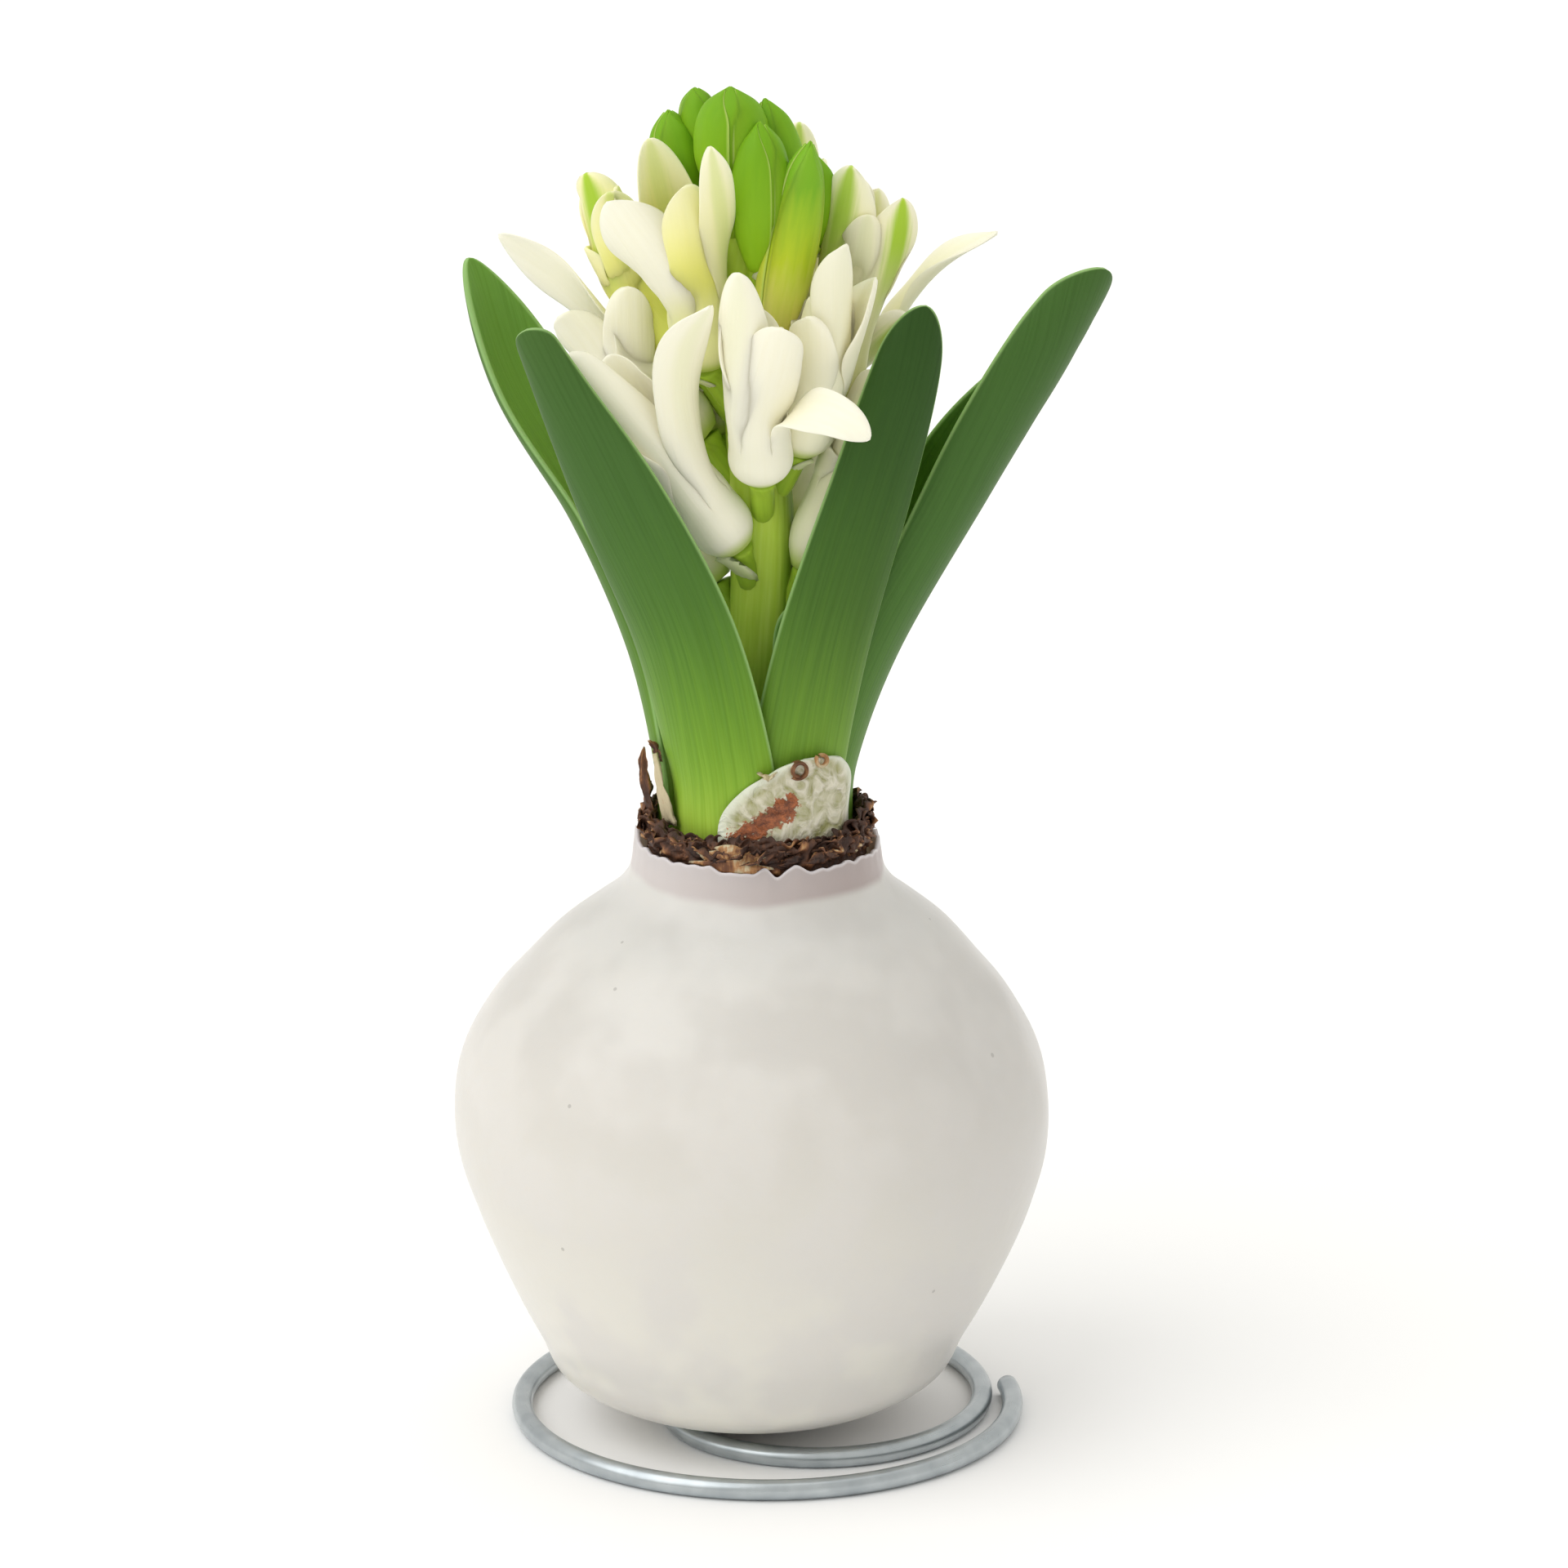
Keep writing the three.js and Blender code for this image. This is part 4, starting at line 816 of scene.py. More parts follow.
# Dry tunic, a natural paper: dark brown, with lengthwise fibres about 0.4 mm apart, tan where it
# is thin or freshly split, and paler on the crests of its creases and folds as a painted highlight.
tunic_finish, tree = new_finish("dry_bulb_tunic")
tone = add(tree, "Attribute", {"attribute_name": "tone"})
place = add(tree, "TexCoord")
fibres = grain(tree, (2.2, 0.5), 5, roughness=0.65)
patches = add(tree, "TexNoise", None, {
    "Vector": place.outputs["Object"], "Scale": 0.4 / MM, "Detail": 4.0,
})
brownness = add(tree, "Math", {"operation": "MULTIPLY_ADD"}, {
    0: patches.outputs["Fac"], 1: 0.7, 2: tone.outputs["Fac"],
})
mixed_tone = add(tree, "Math", {"operation": "MULTIPLY_ADD"}, {
    0: fibres.outputs["Fac"], 1: 0.5, 2: brownness.outputs[0],
})
tunic_tone = add(tree, "ValToRGB", None, {"Fac": mixed_tone.outputs[0]}, [
    (0.35, "#2c1810"), (0.6, "#4d2f1e"), (0.74, "#74492c"), (0.88, "#b08050"), (1.0, "#cdbf9c"),
])
show(tree, {
    "Base Color": tunic_tone.outputs[0], "Roughness": 0.6,
}, fibres, strength=0.8, depth=0.3)

# Each layer is its foot and top radii, how far its edge is lifted, its phase and its tone. The
# loose flakes follow the edge of the first one
collar = joined([
    collar_layer(12.9, 13.7, 0.0, COLLAR_PHASE, -0.06),
    collar_layer(12.5, 13.2, 0.5, 1.3, -0.02),
    collar_layer(12.1, 12.8, 0.7, 2.1, -0.08),
])
piece("tunic_collar", collar, tunic_finish, "tunic")
flakes = []
for index in range(FLAKES):
    flake_angle = 360 * index / FLAKES + collar_random.uniform(-3, 3)
    flakes.append(flake(
        angle=flake_angle,
        radius=collar_random.uniform(12.4, 13.7),
        level=collar_random.uniform(72.8, torn_top(np.radians(flake_angle), COLLAR_PHASE) - 1.6),
        width=collar_random.uniform(2.0, 5.0),
        height=collar_random.uniform(1.2, 2.6),
        lean=collar_random.uniform(-20, 40),
        curl=collar_random.uniform(-50, 70),
        twist=collar_random.uniform(-50, 50),
        tone=collar_random.uniform(-0.3, -0.08),
    ))
# The wide tan flake at the front, the pale strip and three dark shreds at the left, a beige fold on
# the neck scale, and the two rolled tips above it
flakes += [
    flake(-103, 14.1, 72.3, 8.8, 3.5, 4, -30, 0, 0.2),
    flake(-156, 11.5, 75.2, 2.6, 9.2, 16, -12, 0, 0.42),
    flake(-169, 12.9, 76.4, 1.7, 8.0, 16, -26, 60, -0.02),
    flake(-161, 12.5, 83.4, 1.3, 2.8, 4, 40, 90, 0.0),
    flake(-174, 13.2, 76.2, 2.4, 4.0, 8, -20, -30, -0.05),
    flake(-84, 12.2, 83.2, 2.6, 2.0, 20, 120, 10, 0.35),
    curled_tip(-68, 13.0, 84.8, 1.1, -130, 400, 1.8, 0.16),
    curled_tip(-54, 13.0, 85.6, 0.85, -220, 330, 1.2, 0.3),
]
piece("tunic_flakes", joined(flakes), tunic_finish, "tunic")


# The scape, the one flower stem: a round, faintly ridged, juicy green stem that leans a little to
# the left and tapers. Each flower grows from it on a short stalk that bears a small papery bract.
SCAPE_FOOT = 71.3
SCAPE_TOP = 159
SCAPE_AXIS = [
    [-1.1, 0, SCAPE_FOOT], [-1, 0, 93], [-0.4, 0, 115],
    [-1.4, 0, 131], [-2.6, 0, 145], [-3.6, 0, SCAPE_TOP],
]
SCAPE_RADII = [4.2, 4, 3.9, 3.5, 2.8, 1.6]
SCAPE_ROWS, SCAPE_SIDES = 70, 36
STALK_RADIUS = 1.35
STALK_ROWS, STALK_SIDES = 14, 12
BRACT_ROWS = 9
BRACT_HALF = 0.1


def scape_at(level):
    """The scape's middle at a level."""
    place = along(SCAPE_AXIS, (np.atleast_1d(level) - SCAPE_FOOT) / (SCAPE_TOP - SCAPE_FOOT))
    place[:, 2] = level
    return place


def scape_radius(level):
    """The scape's radius at a level."""
    return along(SCAPE_RADII, (np.atleast_1d(level) - SCAPE_FOOT) / (SCAPE_TOP - SCAPE_FOOT))


def stalk(flower):
    """A stalk: it starts narrow inside the scape's skin, bows out, and widens under the flower."""
    foot = flower["height"] - 7
    root = scape_at(foot)[0] + flower["out"] * scape_radius(foot) * 0.42
    end = flower["base"] - 0.1 * flower["axis"]
    bow = root + (end - root) * 0.5 + 0.1 * flower["out"]
    share = np.linspace(0, 1, STALK_ROWS)
    path = along([root, bow, end], share)
    widening = 0.45 * smooth(share / 0.35) + 0.28 * smooth((share - 0.75) / 0.25)
    radius = STALK_RADIUS * (0.6 + widening)
    side = np.broadcast_to(np.cross(flower["out"], [0, 0, 1]), path.shape)
    return tube(path, side, radius, STALK_SIDES)


def bract(flower, start=0.5, turned=0, length=3.6, width=1.5, wrap=0.45):
    """A bract: a small pointed scale that starts at a share of the way along a stalk, is turned
    round it from its underside, and leans away. Its edges wrap as the square of the way across."""
    low = flower["height"] - 5
    root = scape_at(low)[0] + flower["out"] * scape_radius(low) * 0.5
    ahead = unit(flower["base"] - root)
    under = unit(ahead[2] * ahead - [0, 0, 1])
    beside = np.cross(ahead, under)
    under = np.cos(np.radians(turned)) * under + np.sin(np.radians(turned)) * beside
    foot = root + (flower["base"] - root) * start + under * STALK_RADIUS * 1.05
    share = np.linspace(0, 1, BRACT_ROWS)
    tilt = np.radians(2 + 26 * share)[:, None]
    run = np.cos(tilt) * ahead + np.sin(tilt) * under
    centre = foot + np.cumsum(run, 0) * length / (BRACT_ROWS - 1)
    side = np.broadcast_to(np.cross(ahead, under), run.shape)
    across = np.linspace(-1, 1, 7)
    outline = (0.5 + 0.5 * smooth(share / 0.5)) * (1 - 0.98 * share**3)
    reach = width * outline[:, None] * across
    normal = np.cross(side, run)
    dip = wrap * (across**2)[None, :, None]
    middle = centre[:, None] + side[:, None] * reach[..., None] - normal[:, None] * dip
    half = BRACT_HALF * np.sqrt(1 - across**2) * np.ones((BRACT_ROWS, 1))
    weave = np.stack([reach, share[:, None] * length + 0 * reach, 0 * reach], -1)
    return blade(middle, np.broadcast_to(normal[:, None], middle.shape), half, {"weave": weave})


def flower_frame(height, side, reach, azimuth, elevation):
    """A flower's place: its base stands out from the scape to one side, and its own axis, up and
    across directions follow from the azimuth and elevation that it points to."""
    axis = heading(azimuth, elevation)
    up = unit(np.array([0, 0, 1]) - axis[2] * axis)
    out = heading(side)
    return {
        "height": height, "out": out, "axis": axis, "up": up, "across": np.cross(axis, up),
        "base": scape_at(height)[0] + reach * out,
    }


def green_stem_finish(name, low, high, streak_tone):
    """A juicy green stem: smooth thin skin with a soft gloss and lengthwise streaks. Its colour
    goes from low to high between 84 and 112 mm up, the darker low colour being painted shade
    among the leaves, and is darker still where its painted shade mark is set."""
    finish, tree = new_finish(name)
    place = add(tree, "TexCoord")
    parts = add(tree, "SeparateXYZ", None, {0: place.outputs["Object"]})
    share = add(tree, "MapRange", None, {
        "Value": parts.outputs["Z"], "From Min": 84 * MM, "From Max": 112 * MM,
    })
    body = add(tree, "Mix", {"data_type": "RGBA"}, {
        0: share.outputs[0], 6: linear(low), 7: linear(high),
    })
    stem_painted_shade = add(tree, "Attribute", {"attribute_name": "stem_painted_shade"})
    stem_shaded_tone = add(tree, "Mix", {"data_type": "RGBA"}, {
        0: stem_painted_shade.outputs["Fac"], 6: body.outputs[2], 7: linear("#6f9416"),
    })
    streak = grain(tree, (1.5, 0.08), 3)
    streak_share = add(tree, "MapRange", None, {
        "Value": streak.outputs["Fac"], "From Min": 0.35, "From Max": 0.75, "To Max": 0.6,
    })
    streaked = add(tree, "Mix", {"data_type": "RGBA"}, {
        0: streak_share.outputs[0], 6: stem_shaded_tone.outputs[2], 7: linear(streak_tone),
    })
    show(tree, {
        "Base Color": streaked.outputs[2], "Roughness": 0.5, "Specular IOR Level": 0.15,
        "Subsurface Weight": 0.3, "Subsurface Radius": (0.7, 1.0, 0.3),
        "Subsurface Scale": 1.5 * MM,
    }, streak, strength=0.25, depth=0.15)
    return finish


stem_finish = green_stem_finish("flower_stem", "#94b83a", "#bcd84c", "#cbe36a")
# The stalks' colours are darker copies of the stem's: painted shade, as they stand in the shade
# among the florets
stalk_finish = green_stem_finish("flower_stalks", "#93b438", "#a6c63e", "#86a62c")
scape_levels = np.linspace(SCAPE_FOOT, SCAPE_TOP, SCAPE_ROWS)
scape_path = scape_at(scape_levels)
scape_side = np.broadcast_to([1.0, 0, 0], scape_path.shape)
scape_points, scape_faces, scape_marks = tube(
    scape_path, scape_side, scape_radius(scape_levels), SCAPE_SIDES)
# Five low ridges run up the stem, and a band down its right side is darkened as painted shade
ridge_middle = scape_at(scape_points[:, 2])
ridge_angle = np.arctan2(scape_points[:, 1], scape_points[:, 0] - ridge_middle[:, 0])
ridge = 1 + 0.03 * np.sin(5 * ridge_angle)
scape_points = ridge_middle + (scape_points - ridge_middle) * ridge[:, None]
# Where the stem's right side is painted in shade
stem_shade_share = smooth((np.cos(ridge_angle + np.radians(14)) - 0.62) / 0.2)
scape_marks["stem_painted_shade"] = 0.85 * stem_shade_share
piece("scape_stem", (scape_points, scape_faces, scape_marks), stem_finish, "scape")


# The florets. Each is a fleshy tube, swollen over its ovary, that splits into six long tepals,
# three of them a little outside the other three. Open ones are cream white, and those just
# opening keep green midribs and a yellow flush.
TUBE_RADIUS = 3.3
TUBE_SWELL = [0.5, 0.82, 0.99, 1.04, 1.02, 0.99, 1.0]
TEPAL_THICKNESS = 0.8
TEPAL_OFFSET = 0.26
WIDEST_BOW = 7.5
TUBE_ROWS = 13
TEPAL_ROWS = 34
TEPAL_COLUMNS = 15
HALF_SIXTH = 30
# A place is the height, side and reach of the flower's base from the scape, then the azimuth and
# the elevation that it points to. Each tepal is how far it opens, curls, leans sideways and twists,
# then its length and width. Green is the strength of the midribs' green, yellow that of the flush
FLORETS = {
    "floret_01": dict(
        place=(110, -122, 5.6, -165, 54), tube=7.5, roll=-60,
        green=[0.12, 0, 0, 0, 0, 0], yellow=0.06,
        tepals=[[19, 48, 18.6, -45, 28, 6.8], [6, 4, 0, 0, 15, 7.4], [-5, 11, 0, 15, 20.2, 9.2],
                [4, 4, 0, 0, 16, 7.4], [2, 4, 0, 0, 16, 7.4], [-1, 1, -4.1, 10, 25, 8.8]]),
    "floret_02": dict(
        place=(118.8, -86, 6.6, -97, 68), tube=6, roll=0, green=[0, 0, 0.1, 0, 0, 0], yellow=0.08,
        tepals=[[4, 8, 0, 0, 15, 7.4], [4, 4, 0, 0, 16, 7.4], [-8, 2, -1.6, 50, 23.5, 8.4],
                [-2, -6, 14.6, 0, 17.5, 9.2], [60, 56, 0, 60, 17.5, 5.6], [4, 0, 0, 0, 14, 7]]),
    "floret_03": dict(
        place=(121.4, -37, 6.2, -42, 72), tube=7, roll=0, green=0.05, yellow=0.18,
        tepals=[[6, 0, 2.4, 0, 11, 7.4], [2, 0, 0, 0, 13, 6.8], [10, 0, -13, 0, 12.7, 6.8],
                [-11, 1, -6, 0, 21, 8.4], [2, 2, 3, 0, 16, 8.6], [5, 3, 7.3, 0, 13, 7.4]]),
    "floret_04": dict(
        place=(126.3, 9, 8.7, 12, 78), tube=8, roll=30,
        green=[0.9, 0.15, 1, 0.6, 0.3, 0.5], yellow=0.5,
        tepals=[[3, 0, 0.8, 30, 20.4, 8.8], [3, -2, -3.2, 0, 15.2, 6.8],
                [9, -16, -0.8, -50, 17.6, 8.6], [14, -11, -3.2, 20, 14.8, 7.6],
                [1, -3, -7.3, 0, 17.3, 7.6], [-8, 6, -1.6, 0, 18.5, 7.6]]),
    "floret_05": dict(
        place=(131.5, -143, 6.4, -150, 80), tube=6, roll=-35,
        green=[0.35, 0.2, 0.35, 0.2, 0, 0.05], yellow=[0.55, 0.5, 0.8, 0.6, 0.03, 1.0],
        tepals=[[10, -7, -17.4, -85, 23.4, 5.1], [5, -7, 0, 0, 9, 7.6], [3, -8, 4.1, 0, 21.8, 9.2],
                [-9, 3, 0.8, 0, 12, 7.4], [7, 2, -28.4, 20, 17.5, 10], [6, -8, -1.6, 0, 17.4, 8]]),
    "floret_06": dict(
        place=(129.6, 157, 6.3, 166, 50), tube=9, roll=0,
        green=[0.3, 0.3, 0.4, 0.4, 1, 0.5], yellow=1.0,
        tepals=[[7, 13, -1.6, 0, 14.6, 7.2], [6, 17, 0, 0, 15.4, 7.2],
                [-5, -8, -14.6, 0, 16.8, 7.2], [-6, -4, -2, 0, 11, 7.2],
                [-28, 7, 9.7, 20, 19, 10], [6, 2, 17.8, 0, 14.8, 7.6]]),
    "floret_07": dict(
        place=(122, 174, 6, 173, 37.5), tube=8, roll=-20, green=0, yellow=0.06,
        tepals=[[12, -2, -1.6, 0, 9, 6.6], [12, -21, 0.8, 25, 26, 6.2],
                [10, 10, 0, 0, 10, 6.6], [-12, 9, -3.2, 0, 10, 6.4],
                [-24, 22, 9.7, 45, 15, 8.6], [10, -2, 50.2, 0, 14, 6.6]]),
    "floret_08": dict(
        place=(120.8, 77, 7, 12, 48), tube=12, roll=0,
        green=[0.3, 0.3, 0.9, 0.05, 0, 0], yellow=0.2,
        tepals=[[0, 0, 0, 0, 6.5, 6.4], [4, 6, 0, 0, 6.5, 6.4], [6, 0, 0, 0, 9.5, 7],
                [-8, 34, 0, 0, 24, 5.6], [4, 6, 0, 0, 6.5, 6.4], [4, 6, 0, 0, 6.5, 6.4]]),
    "floret_09": dict(
        place=(106.6, -29, 5.9, 7, 68), tube=11, roll=0, green=0.3, yellow=0.2,
        tepals=[[4, 6, 0, 0, 5, 7], [4, 6, 0, 0, 15, 7], [6, 6, 0, 0, 15, 7],
                [2, 4, 0, 0, 19, 7], [6, 4, 0, 0, 15, 7], [4, 6, 0, 0, 9, 7]]),
    "floret_10": dict(
        place=(109.6, 60, 5.8, 70, 44), tube=9, roll=0, green=0.1, yellow=0.08,
        tepals=[[12, 20, 0, 0, 10, 6.8]] * 6),
    "floret_11": dict(
        place=(104, 165, 5.8, 163, 50), tube=8, roll=30, green=0.1, yellow=0.1,
        tepals=[[12, 12, 0, 0, 10, 6.4]] * 6),
    "floret_12": dict(
        place=(121, 128, 6, 122, 52), tube=10, roll=0, green=0.2, yellow=0.15,
        tepals=[[12, 18, 0, 0, 15, 6.8]] * 6),
    "floret_13": dict(
        place=(130.4, 58, 7.3, 74, 84), tube=9.4, roll=0, green=0.8, yellow=0.5,
        tepals=[[8, -12, 0, 0, 15, 7.4], [8, -12, 0, 0, 13, 7.4], [8, -12, 0, 0, 14, 7.4],
                [8, -12, 0, 0, 18, 6.4], [8, -12, 0, 0, 17, 7.4], [8, -12, 0, 0, 15, 7.4]]),
    "floret_14": dict(
        place=(134, 108, 6, 106, 62), tube=10, roll=30, green=0.8, yellow=0.6,
        tepals=[[8, -12, 0, 0, 15, 7.4]] * 6),
}


def tepal_grid(flower, tube_length, angle, form, offset, green, yellow):
    """One sixth of a floret as an outer and an inner grid. Up to the mouth its rows are arcs of
    rings about the axis. Past the mouth the centre line leans out by its open angle, bends on by
    its curl, sways sideways and turns, and the arc widens and is rounded off at the tip, to more
    of a point on the three outer tepals."""
    opened, curl, sway_angle, twist, length, width = form
    axis = flower["axis"]
    across = np.sin(np.pi / 2 * np.linspace(-1, 1, TEPAL_COLUMNS))
    tube_share = np.linspace(0, 1, TUBE_ROWS)[:, None]
    turn = np.radians(angle + HALF_SIXTH * across)[:, None]
    ring = flower["up"] * np.cos(turn) + flower["across"] * np.sin(turn)
    swell = TUBE_RADIUS * along(TUBE_SWELL, tube_share[:, 0])[:, None, None]
    tube_middle = flower["base"] + axis * (tube_length * tube_share)[..., None] + ring * swell
    tube_outward = ring + 0 * tube_middle
    out = flower["up"] * np.cos(np.radians(angle)) + flower["across"] * np.sin(np.radians(angle))
    tangent = np.cross(axis, out)
    fine = np.linspace(0, 1, 241)
    lean = np.radians(opened * smooth(fine / 0.45) + curl * smooth((fine - 0.35) / 0.65))[:, None]
    sway = np.radians(sway_angle * smooth(fine / 0.4))[:, None]
    fine_run = (np.cos(lean) * axis + np.sin(lean) * out) * np.cos(sway) + np.sin(sway) * tangent
    mouth = flower["base"] + axis * tube_length + out * TUBE_RADIUS
    steps = (fine_run[1:] + fine_run[:-1]) / 2 * length / (len(fine) - 1)
    fine_centre = mouth + np.vstack([np.zeros(3), np.cumsum(steps, 0)])
    share = 1 - (1 - np.linspace(0, 1, TEPAL_ROWS + 1)[1:]) ** 1.25
    centre, run = (
        np.stack([np.interp(share, fine, line[:, k]) for k in range(3)], -1)
        for line in (fine_centre, fine_run)
    )
    run = unit(run)
    twisted = np.radians(twist * smooth(share))[:, None]
    flat = unit(tangent - (run @ tangent)[:, None] * run)
    side = np.cos(twisted) * flat + np.sin(twisted) * np.cross(run, flat)
    normal = np.cross(side, run)
    root = TUBE_RADIUS * np.pi / 6
    narrowing = 0.62 if offset > 0 else 0.5
    rounding = (1 - 0.9995 * np.clip((share - 0.5) / 0.5, 0, 1) ** 2.3) ** narrowing
    half_width = (root + (width / 2 - root) * smooth(share / 0.4)) * rounding
    from_base = centre - flower["base"]
    from_axis = np.linalg.norm(from_base - (from_base @ axis)[:, None] * axis, axis=-1)
    bow = np.clip(from_axis, half_width / 1.15, WIDEST_BOW)[:, None]
    arc = half_width[:, None] / bow * across
    reach = bow * np.sin(arc)
    dip = bow * (1 - np.cos(arc))
    phase = np.radians(angle) * 3 + length
    wave = 0.45 * smooth(share * 2)[:, None] * across**3 * np.sin(11 * share + phase)[:, None]
    rib = 0.12 * smooth(share * 4)[:, None] * np.exp(-((across / 0.2) ** 2))
    shift = offset * smooth(share / 0.25)[:, None]
    tepal_middle = (
        centre[:, None] + side[:, None] * reach[..., None]
        + normal[:, None] * (shift - dip + wave - rib * 0.6)[..., None]
    )
    arc = arc[..., None]
    tepal_outward = unit(normal[:, None] * np.cos(arc) + side[:, None] * np.sin(arc))
    body = (1 - 0.55 * across**2) * np.sqrt(1 - across**8) * (0.5 + 0.5 * rounding[:, None])
    half = TEPAL_THICKNESS / 2 * np.vstack([np.ones((TUBE_ROWS, TEPAL_COLUMNS)), body])
    half[TUBE_ROWS - 1, [0, -1]] = 0
    half[-1] = 0
    middle = np.vstack([tube_middle, tepal_middle])
    outward = np.vstack([tube_outward, tepal_outward])
    rows = len(middle)
    tube_reach = np.radians(HALF_SIXTH) * swell[:, :, 0] * np.abs(across)
    width_marks = np.vstack([tube_reach, np.abs(reach)])
    lengthwise = np.concatenate([tube_length * tube_share[:, 0], tube_length + length * share])
    level = np.concatenate([0.4 * tube_share[:, 0], 0.4 + 0.6 * share])
    sheet = np.ones((rows, TEPAL_COLUMNS))
    own = np.concatenate([0 * tube_share[:, 0], smooth(share * 3)])[:, None]
    marks = {
        "weave": np.stack([width_marks, lengthwise[:, None] * sheet, 0 * sheet], -1),
        "spread": np.stack([np.abs(across) * sheet, level[:, None] * sheet, 0 * sheet], -1),
        "green": green * own * sheet,
        "yellow": yellow[1] + (yellow[0] - yellow[1]) * own * sheet,
    }
    return middle + outward * half[..., None], middle - outward * half[..., None], marks


def floret_skin(flower, tube_length, roll, forms, green, yellow):
    """A floret as one closed skin: six grid pairs, joined side to side up to the mouth, where the
    rings end, and each closed along its own edges past it. A tip and a floor end in one point."""
    sixths = [
        tepal_grid(flower, tube_length, roll + 60 * k, form, TEPAL_OFFSET * (-1) ** k, green[k],
                   (yellow[k], yellow.mean()))
        for k, form in enumerate(forms)
    ]
    outer = np.stack([sixth[0] for sixth in sixths])
    inner = np.stack([sixth[1] for sixth in sixths])
    rows, columns = outer.shape[1:3]
    mouth = TUBE_ROWS - 1
    inner[:, 0] += flower["axis"] * 0.6
    floor = flower["base"] - 0.15 * flower["axis"], flower["base"] + 1.2 * flower["axis"]
    points = np.vstack([outer.reshape(-1, 3), inner.reshape(-1, 3), floor])
    marks = {}
    for mark in sixths[0][2]:
        held = np.stack([sixth[2][mark] for sixth in sixths])
        held = held.reshape(-1, *held.shape[3:])
        marks[mark] = np.concatenate([held, held, held[:1], held[:1]])
    number = np.arange(outer[..., 0].size).reshape(6, rows, columns)
    count = number.size
    outside, inside = number.copy(), number + count
    for wall in (outside, inside):
        wall[:, :mouth, -1] = np.roll(wall[:, :mouth, 0], -1, 0)
    outside[:, mouth, -1] = np.roll(outside[:, mouth, 0], -1, 0)
    for column in (0, -1):
        inside[:, mouth:, column] = outside[:, mouth:, column]
    tip = outside[:, -1, columns // 2][:, None]
    faces = []
    for wall, order in ((outside, 1), (inside, -1)):
        here, next_row = wall[:, :-2], wall[:, 1:-1]
        body = np.stack([here[..., :-1], here[..., 1:], next_row[..., 1:], next_row[..., :-1]], -1)
        cap = np.stack([wall[:, -2, :-1], wall[:, -2, 1:], tip + 0 * wall[:, -2, 1:]], -1)
        faces += [body.reshape(-1, 4)[:, ::order], cap.reshape(-1, 3)[:, ::order]]
        centre = 2 * count + (order < 0)
        foot = np.stack([wall[:, 0, 1:], wall[:, 0, :-1], np.full((6, columns - 1), centre)], -1)
        faces.append(foot.reshape(-1, 3)[:, ::order])
    used = np.unique(np.concatenate([block.ravel() for block in faces]))
    renumber = np.zeros(len(points), int)
    renumber[used] = np.arange(len(used))
    return points[used], [renumber[block] for block in faces], {
        mark: values[used] for mark, values in marks.items()
    }


# A fleshy petal: cream white, waxy and matt, with light going a little way in. A yellow flush, a
# green midrib and a green foot follow each tepal, and faint veins run up it about 0.5 mm apart.
petal_finish, tree = new_finish("fleshy_petal")
spread = add(tree, "Attribute", {"attribute_name": "spread"})
parts = add(tree, "SeparateXYZ", None, {0: spread.outputs["Vector"]})
green_mark = add(tree, "Attribute", {"attribute_name": "green"})
yellow_mark = add(tree, "Attribute", {"attribute_name": "yellow"})
veins = grain(tree, (1.8, 0.08), 2)
flush_run = add(tree, "MapRange", {"interpolation_type": "SMOOTHSTEP"}, {
    "Value": parts.outputs["Y"], "From Min": 0.6, "To Min": 1.0, "To Max": 0.5,
})
flush = add(tree, "Math", {"operation": "MULTIPLY"}, {
    0: flush_run.outputs[0], 1: yellow_mark.outputs["Fac"],
})
cream = add(tree, "Mix", {"data_type": "RGBA"}, {
    0: veins.outputs["Fac"], 6: linear("#faf6e3"), 7: linear("#f6f1da"),
})
flush_tone_run = add(tree, "MapRange", None, {
    "Value": parts.outputs["Y"], "From Min": 0.35, "From Max": 0.8,
})
flush_tone = add(tree, "Mix", {"data_type": "RGBA"}, {
    0: flush_tone_run.outputs[0], 6: linear("#dce26e"), 7: linear("#f5ee88"),
})
vein_shift = add(tree, "Math", {"operation": "MULTIPLY_ADD"}, {
    0: veins.outputs["Fac"], 1: 0.3, 2: parts.outputs["X"],
})
rib = add(tree, "MapRange", {"interpolation_type": "SMOOTHSTEP"}, {
    "Value": vein_shift.outputs[0], "From Min": 0.25, "From Max": 0.75,
    "To Min": 1.0, "To Max": 0.0,
})
rib_run = add(tree, "MapRange", {"interpolation_type": "SMOOTHSTEP"}, {
    "Value": parts.outputs["Y"], "From Min": 0.35, "From Max": 0.85,
})
rib_green = add(tree, "Math", {"operation": "MULTIPLY"}, {0: rib.outputs[0], 1: rib_run.outputs[0]})
rib_share = add(tree, "Math", {"operation": "MULTIPLY"}, {
    0: rib_green.outputs[0], 1: green_mark.outputs["Fac"],
})
base_run = add(tree, "MapRange", {"interpolation_type": "SMOOTHSTEP"}, {
    "Value": parts.outputs["Y"], "From Max": 0.12, "To Min": 0.85, "To Max": 0.0,
})
petal_tone = cream
for share, colour in (
    (flush, flush_tone.outputs[2]), (rib_share, linear("#a5c634")), (base_run, linear("#b4cc4a")),
):
    petal_tone = add(tree, "Mix", {"data_type": "RGBA"}, {
        0: share.outputs[0], 6: petal_tone.outputs[2], 7: colour,
    })
show(tree, {
    "Base Color": petal_tone.outputs[2], "Roughness": 0.5, "Specular IOR Level": 0.3,
    "Subsurface Weight": 0.45, "Subsurface Radius": (1.0, 0.97, 0.88), "Subsurface Scale": 2 * MM,
}, veins, strength=0.4, depth=0.15)

